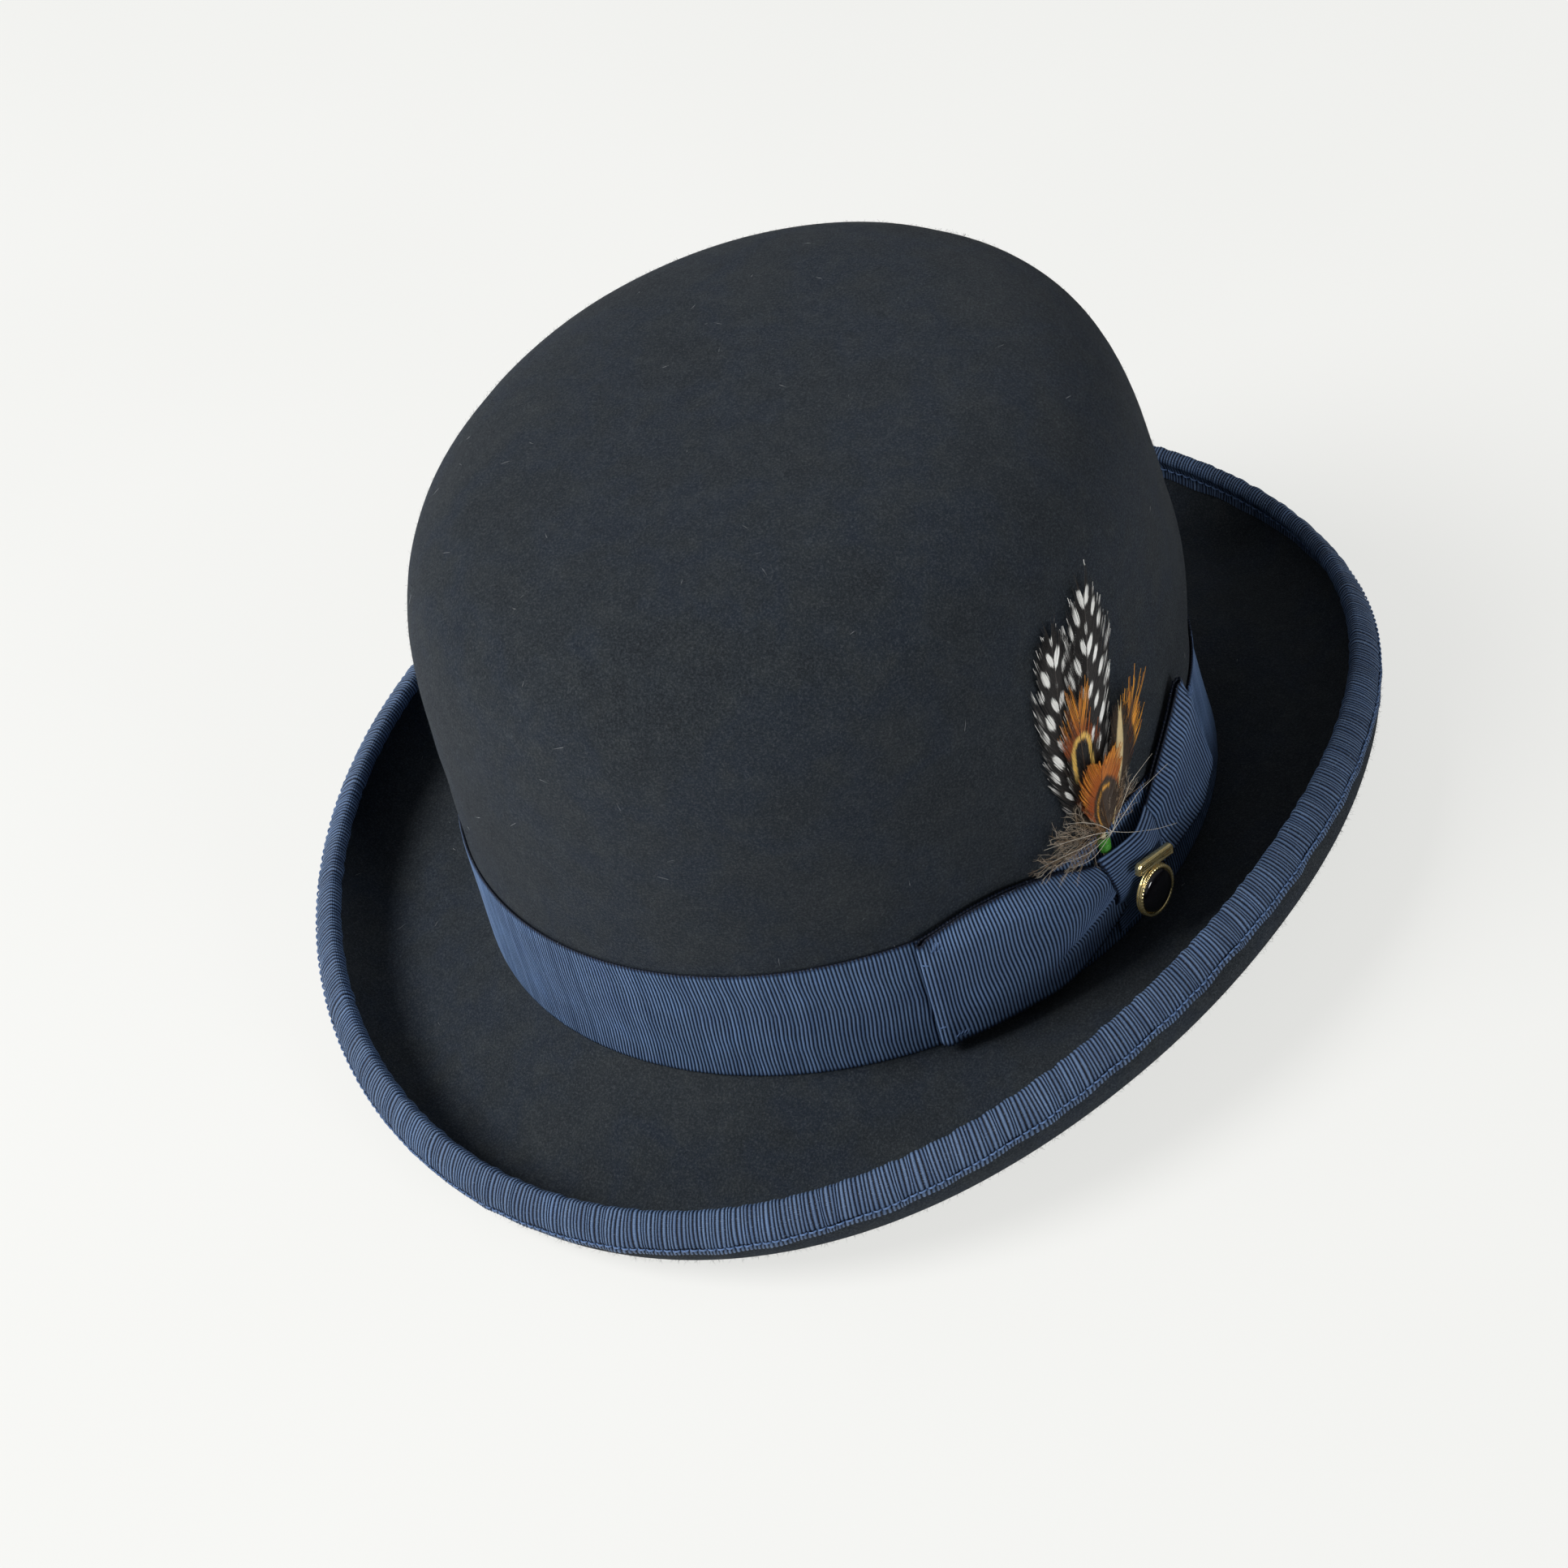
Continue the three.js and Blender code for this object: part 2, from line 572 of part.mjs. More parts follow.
function addSweatband() {
  const sweatPoint = (angle, up, out) => wall(angle, up, sweatOut(up) + out);
  add('sweatband',
    rings(layer([2.4, 12, 22, 30, SWEAT_HEIGHT], sweatPoint, 0, -SWEAT_THICKNESS)),
    FINISH.sweatband);
  const reed = [[REED_HALF, 0], [0, REED_HALF], [-REED_HALF, 0], [0, -REED_HALF]];
  add('sweatband_reed',
    rings(reed.map(([out, up]) => ring(angle => wall(angle, 1.1 + up, -3.9 + out)))),
    FINISH.reed);
}
addSweatband();

// A plate inside the back of the hat; outline rows: distance along from the
// middle of the back, bottom, top.
function addBackPlate(name, outline, out, thickness, finish) {
  const back = (along, up, depth) => wall(Math.PI / 2 + along / HALF_WIDTH, up, depth);
  add(name, loft(outline.map(([along, bottom, top]) => [
    back(along, top, out), back(along, bottom, out),
    back(along, bottom, out - thickness), back(along, top, out - thickness),
  ])), finish);
}
const sweatInside = up => sweatOut(up) - SWEAT_THICKNESS;
addBackPlate('sweatband_bow', [
  [-12, 6.5, 15.5], [-9, 6, 16], [-5, 7.6, 14.4], [-1.5, 9.2, 12.8],
  [1.5, 9.2, 12.8], [5, 7.6, 14.4], [9, 6, 16], [12, 6.5, 15.5],
], sweatInside(16) - 0.4, 0.8, FINISH.innerBow);
addBackPlate('sweatband_bow_knot', [[-2, 8.6, 13.4], [0, 8.2, 13.8], [2, 8.6, 13.4]],
  sweatInside(16) - 1.6, 0.8, FINISH.innerBow);
addBackPlate('size_label', [[-10, 20, 29], [-4, 20, 29], [4, 20, 29], [10, 20, 29]],
  sweatInside(30) - 0.35, 0.35, FINISH.label);

// ------------------------------------------------------------------ lining
// Satin side piece, its foot behind the sweatband, and an oval tip above it.
const LINING_OUTER = -FELT - 0.5;
const LINING_INNER = LINING_OUTER - 0.5;
const addLining = (name, heights, poles) =>
  add(name, rings(layer(heights, crown, LINING_OUTER, LINING_INNER), poles), FINISH.satin);

addLining('lining_side', [0.2, 0.4, 0.6, 0.76, 0.86, 0.92]);
addLining('lining_tip', [0.994, 0.98, 0.957, 0.935],
  [crownPole(LINING_OUTER), crownPole(LINING_INNER)]);

export default hat;
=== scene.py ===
import bpy
import numpy as np
from mathutils import Matrix, Vector
from numpy import cos, exp, pi, sin


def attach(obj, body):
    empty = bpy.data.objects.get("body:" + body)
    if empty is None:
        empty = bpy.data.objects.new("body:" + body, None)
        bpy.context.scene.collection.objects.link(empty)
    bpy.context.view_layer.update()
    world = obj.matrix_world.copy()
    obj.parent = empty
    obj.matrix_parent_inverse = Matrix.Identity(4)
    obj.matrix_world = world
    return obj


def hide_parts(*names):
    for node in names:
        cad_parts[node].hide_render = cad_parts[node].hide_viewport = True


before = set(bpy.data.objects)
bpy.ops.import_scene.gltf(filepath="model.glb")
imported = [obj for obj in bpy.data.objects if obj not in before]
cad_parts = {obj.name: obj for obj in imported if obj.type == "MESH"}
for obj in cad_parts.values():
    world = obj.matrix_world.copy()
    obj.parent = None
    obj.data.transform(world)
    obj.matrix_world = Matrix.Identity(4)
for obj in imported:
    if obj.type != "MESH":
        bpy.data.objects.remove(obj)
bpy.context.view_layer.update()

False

TAU = 2 * pi

# ------------------------------------------------------------ driving sizes
HALF_WIDTH, HALF_LENGTH = 90.4, 99.7    # of the crown's oval at its foot
EGG = 0.019                             # extra width towards the back
FELT = 2.4                              # thickness
CROWN_HEIGHT = 129.6
TAPER = 0.0694                          # share of its size the crown loses by the top
SHOULDER_POWER, TOP_POWER = 9.29, 3.15  # roundness of the shoulder and of the top
TOP_SLOPE, LEAN = 0.0152, 0.0084        # rise of the top and lean of the crown to the back
FOOT = 14.9                             # mean height of the crown's foot

# Brim slope in radians where it leaves the crown and at its edge, as the weights
# of 1, cos 2 turn, sin turn and sin 3 turn
START_SLOPE = (-0.183, 0.346, 0.097, 0.0)
EDGE_SLOPE = (2.671, 0.250, -0.1165, 0.0586)
CURL_FROM, CURL_POWER = 0.405, 1.824    # the reach where the curl starts and its sharpness

CLOTH_OUT = 0.3 + 0.34                  # groove of a ribbon: gap to the felt and base cloth
BAND_WIDTH = 34.4


# ------------------------------------------------------------ number helpers
def smooth(x, start=0.0, end=1.0):
    share = np.clip((x - start) / (end - start), 0, 1)
    return share * share * (3 - 2 * share)


def smooth_max(first, second, rounding):
    return (first + second + np.sqrt((first - second) ** 2 + rounding**2)) / 2


def bell(x, centre, width):
    return exp(-((x - centre) / width) ** 2)


def unit(vectors):
    return vectors / np.maximum(1e-9, np.linalg.norm(vectors, axis=-1, keepdims=True))


def curve(rows):
    """A smooth look-up through (x, value) rows, monotone between them."""
    xs, ys = np.array(rows, float).T
    gap = np.diff(xs)
    rate = np.diff(ys) / gap
    inner = (rate[:-1] * gap[1:] + rate[1:] * gap[:-1]) / (gap[:-1] + gap[1:])
    inner = np.where(rate[:-1] * rate[1:] <= 0, 0, inner)
    slope = np.concatenate([[rate[0]], inner, [rate[-1]]])

    def value(x):
        x = np.clip(x, xs[0], xs[-1])
        i = np.clip(np.searchsorted(xs, x, side="right") - 1, 0, len(gap) - 1)
        q = (x - xs[i]) / gap[i]
        return ((2 * q**3 - 3 * q**2 + 1) * ys[i] + (q**3 - 2 * q**2 + q) * gap[i] * slope[i]
                + (3 * q**2 - 2 * q**3) * ys[i + 1] + (q**3 - q**2) * gap[i] * slope[i + 1])

    return value


def ring_wave(turn, seed, counts):
    """A seeded wander that closes round the hat; counts are whole waves."""
    g = np.random.default_rng(seed)
    total = np.zeros(np.shape(turn))
    for count in counts:
        total = total + g.uniform(0.5, 1.0) * sin(count * np.asarray(turn) + g.uniform(0, TAU))
    return total / len(counts) ** 0.5


# ------------------------------------------------------------ hat's surfaces
def foot_height(turn):
    """Rise and fall of the crown's foot: low at both sides and at the back."""
    return -2.48 * cos(2 * turn) - 3.46 * sin(turn)


def oval(turn):
    return HALF_WIDTH * cos(turn) * (1 + EGG * sin(turn)), HALF_LENGTH * sin(turn)


def oval_normal(turn):
    dx = HALF_WIDTH * (-sin(turn) * (1 + EGG * sin(turn)) + EGG * cos(turn) ** 2)
    dy = HALF_LENGTH * cos(turn)
    size = np.hypot(dx, dy)
    return dy / size, -dx / size


def crown(turn, rise, out=0.0):
    turn, rise, out = np.broadcast_arrays(*(np.asarray(v, float) for v in (turn, rise, out)))
    level = np.clip(rise, 0, 1)
    radius = np.maximum(1e-12, 1 - level**SHOULDER_POWER) ** (1 / TOP_POWER)
    flat = TOP_POWER * radius ** (TOP_POWER - 1) / HALF_WIDTH
    steep = SHOULDER_POWER * level ** (SHOULDER_POWER - 1) / CROWN_HEIGHT
    size = np.hypot(flat, steep)
    flat, steep = flat / size, steep / size
    scale = (1 - TAPER * rise) * radius
    oval_x, oval_y = oval(turn)
    normal_x, normal_y = oval_normal(turn)
    x = oval_x * scale + normal_x * flat * out
    y = oval_y * scale + normal_y * flat * out
    z = foot_height(turn) * (1 - rise) + (CROWN_HEIGHT + TOP_SLOPE * y) * rise + steep * out
    return np.stack([x, y + LEAN * z, z + FOOT], -1)


def crown_span(turn):
    return CROWN_HEIGHT - foot_height(turn)


def wall(turn, height, out=0.0):
    return crown(turn, np.maximum(0, height / crown_span(turn)), out)


def side(along, height, out=0.0):
    return wall(np.asarray(along, float) / HALF_LENGTH, np.asarray(height, float), out)


# The band pulls the felt in behind the bow and the crown is full above it:
# (height, distance out)
DRAW = curve([
    (-9, -4.2), (0, -4.4), (10, -5.3), (22, -6.1), (33, -6.0), (38, -3.6),
    (46, 0.6), (56, 1.6), (70, 0.8), (88, 0), (200, 0)])
DRAW_TURN, DRAW_SPREAD = np.radians(59), np.radians(21)


def draw(turn, height):
    return bell(np.mod(turn + pi, TAU) - pi, DRAW_TURN, DRAW_SPREAD) * DRAW(height)


def drawn_crown(turn, rise, out):
    return crown(turn, rise, out + draw(turn, rise * crown_span(turn)))


def drawn_wall(turn, height, out):
    return wall(turn, height, out + draw(turn, height))


def weighted(weights, turn):
    return (weights[0] + weights[1] * cos(2 * turn) + weights[2] * sin(turn)
            + weights[3] * sin(3 * turn))


def brim_slope(turn, reach):
    start, edge = weighted(START_SLOPE, turn), weighted(EDGE_SLOPE, turn)
    curl = np.maximum(0, (reach - CURL_FROM) / (1 - CURL_FROM)) ** CURL_POWER
    return start + (edge - start) * curl


def brim_profiles(turns, steps):
    """Run and rise along the brim, summed in small steps at every turn."""
    turn = np.arange(turns + 1)[:, None] / turns * TAU
    slope = brim_slope(turn, (np.arange(steps)[None, :] + 0.5) / steps)
    step = (54.0 - 3.4 * cos(2 * turn) - 2.35 * sin(turn)) / steps   # the brim's length round it
    start = np.zeros((turns + 1, 1))
    return [np.concatenate([start, np.cumsum(part(slope) * step, 1)], 1) for part in (cos, sin)]


BRIM_TURNS, BRIM_STEPS = 720, 120
BRIM_RUN, BRIM_RISE = brim_profiles(BRIM_TURNS, BRIM_STEPS)


def brim(turn, reach, out=0.0, beyond=0.0):
    """A point of the brim: out above its upper face and beyond further along it."""
    turn, reach, out, beyond = np.broadcast_arrays(
        *(np.asarray(v, float) for v in (turn, reach, out, beyond)))
    column = np.mod(turn, TAU) / TAU * BRIM_TURNS
    i = np.minimum(column.astype(int), BRIM_TURNS - 1)
    f = column - i
    row = np.clip(reach, 0, 1) * BRIM_STEPS
    j = np.minimum(row.astype(int), BRIM_STEPS - 1)
    g = row - j

    def look(grid):
        return ((grid[i, j] * (1 - g) + grid[i, j + 1] * g) * (1 - f)
                + (grid[i + 1, j] * (1 - g) + grid[i + 1, j + 1] * g) * f)

    slope = brim_slope(turn, reach)
    run = look(BRIM_RUN) - sin(slope) * out + cos(slope) * beyond
    z = look(BRIM_RISE) + cos(slope) * out + sin(slope) * beyond
    x, y = oval(turn)
    normal_x, normal_y = oval_normal(turn)
    return np.stack([x + normal_x * run, y + normal_y * run, foot_height(turn) + z + FOOT], -1)


def drawn_brim(turn, reach, out=0.0):
    """The inner brim follows the drawn-in foot of the crown."""
    points = brim(turn, reach, out)
    normal_x, normal_y = oval_normal(turn)
    shift = draw(turn, 0.0) * (1 - smooth(reach, 0.0, 0.45))
    points[..., 0] += normal_x * shift
    points[..., 1] += normal_y * shift
    return points


# ---------------------------------------------------------------- materials
MATERIALS = {}


def srgb(*levels):
    """Linear RGBA of an 8-bit colour."""
    shares = [level / 255 for level in levels]
    return (*(c / 12.92 if c <= 0.04045 else ((c + 0.055) / 1.055) ** 2.4 for c in shares), 1.0)


class Shader:
    """A small node-tree writer round one Principled BSDF; it works in millimetres."""

    def __init__(self, name, roughness=0.8, metallic=0.0, specular=0.3):
        material = bpy.data.materials.new(name)
        material.use_nodes = True
        self.tree = material.node_tree
        self.surface = next(n for n in self.tree.nodes if n.type == "BSDF_PRINCIPLED")
        self.set(Roughness=roughness, Metallic=metallic, Specular_IOR_Level=specular)
        MATERIALS[name] = material

    def put(self, socket, value):
        if isinstance(value, bpy.types.NodeSocket):
            self.tree.links.new(value, socket)
        else:
            socket.default_value = value

    def set(self, **inputs):
        for name, value in inputs.items():
            self.put(self.surface.inputs[name.replace("_", " ")], value)

    def node(self, kind, **settings):
        node = self.tree.nodes.new(kind)
        for name, value in settings.items():
            setattr(node, name, value)
        return node

    def attribute(self, name, output="Vector"):
        return self.node("ShaderNodeAttribute", attribute_name=name).outputs[output]

    def split(self, vector):
        node = self.node("ShaderNodeSeparateXYZ")
        self.put(node.inputs[0], vector)
        return node.outputs

    def coords(self, stretch=(1, 1, 1)):
        """Object position in millimetres times stretch."""
        place = self.node("ShaderNodeTexCoord").outputs["Object"]
        return self.stretched(place, tuple(1000 * k for k in stretch))

    def stretched(self, vector, factors):
        node = self.node("ShaderNodeVectorMath", operation="MULTIPLY")
        self.put(node.inputs[0], vector)
        self.put(node.inputs[1], factors)
        return node.outputs[0]

    def math(self, operation, *values):
        node = self.node("ShaderNodeMath", operation=operation)
        for socket, value in zip(node.inputs, values):
            self.put(socket, value)
        return node.outputs[0]

    def scaled(self, value, times, plus):
        return self.math("MULTIPLY_ADD", value, times, plus)

    def fleck(self, comparison, value, limit, weight):
        """The weight where the value passes the limit, and 0 elsewhere."""
        return self.math("MULTIPLY", self.math(comparison, value, limit), weight)

    def noise(self, vector, scale, detail=3.0, roughness=0.6):
        node = self.node("ShaderNodeTexNoise")
        self.put(node.inputs["Vector"], vector)
        node.inputs["Scale"].default_value = scale
        node.inputs["Detail"].default_value = detail
        node.inputs["Roughness"].default_value = roughness
        return node.outputs["Fac"]

    def ramp(self, factor, *stops, convert=srgb):
        """Stops are (position, colour), the colour turned to linear RGBA by convert."""
        node = self.node("ShaderNodeValToRGB")
        self.put(node.inputs[0], factor)
        elements = node.color_ramp.elements
        while len(elements) > 1:
            elements.remove(elements[0])
        elements[0].position, elements[0].color = stops[0][0], convert(*stops[0][1])
        for position, colour in stops[1:]:
            elements.new(position).color = convert(*colour)
        return node.outputs["Color"]

    def mix(self, share, under, over, blend="MIX"):
        node = self.node("ShaderNodeMix", data_type="RGBA", blend_type=blend)
        self.put(node.inputs[0], share)
        self.put(node.inputs[6], under)
        self.put(node.inputs[7], over)
        return node.outputs[2]

    def bump(self, height, distance, strength, normal=None):
        node = self.node("ShaderNodeBump")
        self.put(node.inputs["Height"], height)
        node.inputs["Distance"].default_value = distance / 1000
        node.inputs["Strength"].default_value = strength
        if normal is not None:
            self.put(node.inputs["Normal"], normal)
        return node.outputs["Normal"]


def felt_material():
    m = Shader("felt", roughness=0.95, specular=0.12)
    place = m.coords()
    cloud = m.noise(place, scale=0.028, detail=4)                  # dye patches, 2 to 5 cm
    streak = m.noise(place, scale=0.16, detail=5, roughness=0.62)  # brushed streaks
    grain = m.noise(place, scale=1.9, detail=4, roughness=0.78)    # pressed wool grain
    fibre = m.noise(m.stretched(place, (1.0, 1.0, 0.35)), scale=5.5, roughness=0.75)
    base = m.ramp(cloud, (0.34, (29, 32, 35)), (0.45, (36, 42, 48)), (0.52, (30, 41, 58)),
                  (0.60, (39, 44, 48)), (0.68, (48, 51, 53)))
    base = m.mix(share=m.math("MULTIPLY", streak, 0.75), under=base, over=m.ramp(
        streak, (0.34, (17, 21, 29)), (0.5, (35, 41, 47)), (0.64, (56, 60, 61))))
    base = m.mix(share=0.60, under=base, over=m.ramp(
        grain, (0.30, (12, 15, 18)), (0.5, (36, 41, 46)), (0.72, (78, 83, 87))))
    base = m.mix(share=m.fleck("GREATER_THAN", fibre, limit=0.64, weight=0.42),
                 under=base, over=srgb(88, 94, 100))
    m.set(Base_Color=base, Sheen_Weight=0.10, Sheen_Roughness=0.55,
          Sheen_Tint=srgb(150, 158, 170))
    rough = m.bump(m.math("ADD", grain, m.math("MULTIPLY", fibre, 0.5)),
                   distance=0.55, strength=0.8)
    m.set(Normal=m.bump(streak, distance=0.9, strength=0.25, normal=rough))


def ribbon_material(name, tint=1.0, warps=3.6):
    """Grosgrain: rib runs 0 in a groove to 1 on a cord, and the colour ramp on it paints
    shade into the grooves and highlights onto the cords; st.x is along the ribbon in ribs,
    st.y across it in millimetres; warps is warp threads per millimetre."""
    m = Shader(name, roughness=0.6, specular=0.22)
    rib = m.attribute("rib", "Fac")
    cloth = m.attribute("st")
    across = m.split(cloth)[1]
    place = m.coords()

    def tinted(*levels):
        return srgb(*(min(255, level * tint) for level in levels))

    # painted shade and highlight: the ramp colours grooves near black and cords pale blue, as
    # light falls across the ribs
    base = m.ramp(rib, (0.0, (4, 8, 18)), (0.45, (14, 24, 46)), (0.75, (60, 88, 128)),
                  (1.0, (124, 152, 192)), convert=tinted)
    warp = m.math("SINE", m.math("MULTIPLY", across, TAU * warps))
    slub = m.noise(m.stretched(cloth, (1.0, 5.0, 1.0)), scale=1.0, roughness=0.7)
    base = m.mix(share=m.fleck("GREATER_THAN", slub, limit=0.63, weight=0.55),
                 under=base, over=tinted(160, 182, 214))
    base = m.mix(share=m.fleck("LESS_THAN", slub, limit=0.38, weight=0.4),
                 under=base, over=tinted(40, 56, 88))
    tone = m.noise(place, scale=0.11, roughness=0.5)
    tones = m.ramp(tone, (0.3, (96, 100, 112)), (0.5, (128, 128, 128)), (0.7, (146, 152, 160)))
    m.set(Base_Color=m.mix(share=0.5, under=base, over=tones, blend="OVERLAY"),
          Roughness=m.scaled(slub, times=0.25, plus=0.42),
          Sheen_Weight=0.06, Sheen_Roughness=0.4, Sheen_Tint=srgb(150, 175, 215))
    weave = m.bump(warp, distance=0.05, strength=0.7)
    m.set(Normal=m.bump(slub, distance=0.09, strength=0.6, normal=weave))


def speckled_material(name, stops, scale, roughness, specular, stretch=(1, 1, 1), grain=0.6,
                      bump=None):
    """One noise for colour; bump is its (distance, strength) as relief."""
    m = Shader(name, roughness=roughness, specular=specular)
    speckle = m.noise(m.coords(stretch), scale=scale, roughness=grain)
    m.set(Base_Color=m.ramp(speckle, *stops))
    if bump:
        m.set(Normal=m.bump(speckle, distance=bump[0], strength=bump[1]))


def thread_material(name, dark, light):
    speckled_material(name, [(0.3, dark), (0.7, light)], scale=3.0, roughness=0.5,
                      specular=0.4, grain=0.7, bump=(0.06, 0.6))


def feather_material(name, roughness=0.45, specular=0.35):
    """Colour per barb point in the attribute col, broken up by a fine noise."""
    m = Shader(name, roughness=roughness, specular=specular)
    speckle = m.noise(m.coords(), scale=2.4, roughness=0.7)
    m.set(Base_Color=m.mix(
        share=0.40, under=m.attribute("col", "Color"),
        over=m.ramp(speckle, (0.3, (112, 112, 112)), (0.7, (176, 174, 170))), blend="OVERLAY"))
    m.set(Sheen_Weight=0.1, Sheen_Roughness=0.4,
          Normal=m.bump(speckle, distance=0.05, strength=0.5))


def gilt_material():
    m = Shader("gilt", roughness=0.14, metallic=0.86, specular=0.9)
    place = m.coords()
    patch = m.noise(place, scale=0.9, detail=4)
    scratch = m.noise(m.stretched(place, (0.6, 0.6, 5.0)), scale=3.0, detail=2)
    m.set(Base_Color=m.ramp(patch, (0.3, (255, 224, 146)), (0.6, (255, 236, 176)),
                            (0.8, (255, 244, 206))),
          Roughness=m.scaled(patch, times=0.06, plus=0.15),
          Normal=m.bump(scratch, distance=0.002, strength=0.3))


def enamel_material():
    m = Shader("black_enamel", roughness=0.06, specular=0.6)
    place = m.coords()
    patch = m.noise(place, scale=0.7, detail=4)
    m.set(Base_Color=m.ramp(patch, (0.3, (9, 9, 12)), (0.8, (22, 21, 24))),
          Roughness=m.scaled(m.noise(place, scale=4.0), times=0.10, plus=0.02),
          Coat_Weight=0.6, Coat_Roughness=0.04)


def steel_material():
    m = Shader("steel_pin", roughness=0.25, metallic=1.0, specular=0.5)
    streak = m.noise(m.coords((4, 4, 0.6)), scale=1.5)
    m.set(Base_Color=m.ramp(streak, (0.3, (150, 153, 158)), (0.7, (205, 207, 212))),
          Roughness=m.scaled(streak, times=0.2, plus=0.15))


def satin_material():
    m = Shader("satin", roughness=0.32, specular=0.5)
    cloth = m.attribute("st")
    streak = m.noise(m.stretched(cloth, (1.0, 0.12, 1.0)), scale=2.2)
    tone = m.noise(m.coords(), scale=0.05, roughness=0.5)
    base = m.ramp(tone, (0.3, (24, 35, 62)), (0.7, (38, 54, 92)))
    m.set(Base_Color=m.mix(share=0.35, under=base, over=m.ramp(
        streak, (0.35, (18, 26, 48)), (0.65, (66, 86, 130)))))
    m.set(Anisotropic=0.6, Sheen_Weight=0.25, Sheen_Roughness=0.35,
          Roughness=m.scaled(streak, times=0.2, plus=0.24),
          Normal=m.bump(streak, distance=0.05, strength=0.6))


def label_material():
    m = Shader("label", roughness=0.85, specular=0.15)
    threads = 2.2                                            # per millimetre, each way
    along, across = m.split(m.attribute("st"))[:2]
    warp = m.math("SINE", m.math("MULTIPLY", along, TAU * threads))
    weft = m.math("SINE", m.math("MULTIPLY", across, TAU * threads))
    weave = m.math("MULTIPLY", warp, weft)
    base = m.ramp(m.noise(m.coords(), scale=0.5), (0.3, (214, 208, 192)), (0.7, (236, 232, 220)))
    m.set(Base_Color=m.mix(share=m.scaled(weave, times=0.12, plus=0.12),
                           under=base, over=srgb(186, 178, 160)),
          Normal=m.bump(weave, distance=0.06, strength=0.8))


def floor_material():
    """Pale sweep. Most of what the camera sees of it is an even, over-lit white,
    so the hat's shadow stays faint; from underneath it is clear."""
    m = Shader("floor", roughness=0.75, specular=0.1)
    tone = m.noise(m.coords(), scale=0.004, detail=2, roughness=0.5)

    def opaque(*levels):
        return (*levels, 1)

    m.set(Base_Color=m.ramp(tone, (0.3, (0.80, 0.80, 0.79)), (0.7, (0.82, 0.82, 0.81)),
                            convert=opaque),
          Normal=m.bump(m.noise(m.coords(), scale=0.5), distance=0.05, strength=0.15))
    glow = m.node("ShaderNodeEmission")
    m.put(glow.inputs["Color"], m.ramp(tone, (0.3, (0.880, 0.884, 0.860)),
                                       (0.7, (0.895, 0.898, 0.876)), convert=opaque))
    seen = m.node("ShaderNodeLightPath").outputs["Is Camera Ray"]
    above = m.node("ShaderNodeMixShader")
    m.put(above.inputs[0], m.math("MULTIPLY", seen, 0.80))
    m.put(above.inputs[1], m.surface.outputs[0])
    m.put(above.inputs[2], glow.outputs[0])
    clear = m.node("ShaderNodeBsdfTransparent")
    facing = m.node("ShaderNodeNewGeometry")
    both = m.node("ShaderNodeMixShader")
    m.put(both.inputs[0], facing.outputs["Backfacing"])
    m.put(both.inputs[1], above.outputs[0])
    m.put(both.inputs[2], clear.outputs[0])
    output = next(n for n in m.tree.nodes if n.type == "OUTPUT_MATERIAL")
    m.put(output.inputs["Surface"], both.outputs[0])


felt_material()
ribbon_material("grosgrain")
thread_material("thread", dark=(46, 70, 108), light=(96, 124, 166))
thread_material("green_thread", dark=(26, 104, 22), light=(92, 178, 62))
feather_material("spotted_feather")
feather_material("rust_feather", roughness=0.4, specular=0.4)
feather_material("striped_feather")
feather_material("down", roughness=0.7, specular=0.2)
gilt_material()
enamel_material()
steel_material()
satin_material()
label_material()
speckled_material("quill", [(0.3, (176, 160, 120)), (0.7, (226, 214, 182))], scale=1.2,
                  roughness=0.4, specular=0.5, stretch=(3, 3, 0.4), bump=(0.05, 0.5))
ribbon_material("sweatband", tint=0.62, warps=3.0)
ribbon_material("reed", tint=0.55, warps=3.0)
speckled_material("felt_nap", [(0.3, (28, 32, 36)), (0.6, (45, 50, 55)), (0.8, (70, 75, 80))],
                  scale=0.5, roughness=0.95, specular=0.08)
speckled_material("felt_lint", [(0.3, (120, 124, 130)), (0.7, (205, 206, 208))],
                  scale=0.4, roughness=0.9, specular=0.1)
ribbon_material("grosgrain_binding", tint=0.84, warps=3.8)


# ------------------------------------------------------------- mesh builders
# Attribute type and its field, by attribute name
ATTRIBUTES = {"rib": ("FLOAT", "value"), "st": ("FLOAT_VECTOR", "vector"),
              "col": ("FLOAT_COLOR", "color")}


def mesh_object(name, points, faces, material, attributes):
    """Points in mm; faces a list of equal-width index arrays (n x 3 or n x 4)."""
    mesh = bpy.data.meshes.new(name)
    mesh.vertices.add(len(points))
    mesh.vertices.foreach_set("co", (points / 1000).astype(np.float32).ravel())
    loops = np.concatenate([np.asarray(f, np.int32).ravel() for f in faces])
    counts = np.concatenate([np.full(len(f), f.shape[1], np.int32) for f in faces])
    starts = np.concatenate([[0], np.cumsum(counts)[:-1]]).astype(np.int32)
    mesh.loops.add(len(loops))
    mesh.loops.foreach_set("vertex_index", loops)
    mesh.polygons.add(len(counts))
    mesh.polygons.foreach_set("loop_start", starts)
    mesh.polygons.foreach_set("use_smooth", np.full(len(counts), True))
    for key, values in attributes.items():
        kind, field = ATTRIBUTES[key]
        values = np.asarray(values, np.float32).ravel()
        mesh.attributes.new(key, kind, "POINT").data.foreach_set(field, values)
    mesh.update(calc_edges=True)
    mesh.validate(clean_customdata=False)
    ob = bpy.data.objects.new(name, mesh)
    bpy.context.scene.collection.objects.link(ob)
    mesh.materials.append(MATERIALS[material])
    return ob


def outward(points, faces):
    """The faces, all turned over if they enclose a negative volume."""
    volume = 0.0
    for f in faces:
        for k in range(1, f.shape[1] - 1):
            corner = np.cross(points[f[:, k]], points[f[:, k + 1]])
            volume += np.einsum("ij,ij->i", points[f[:, 0]], corner).sum()
    return faces if volume > 0 else [f[:, ::-1] for f in faces]


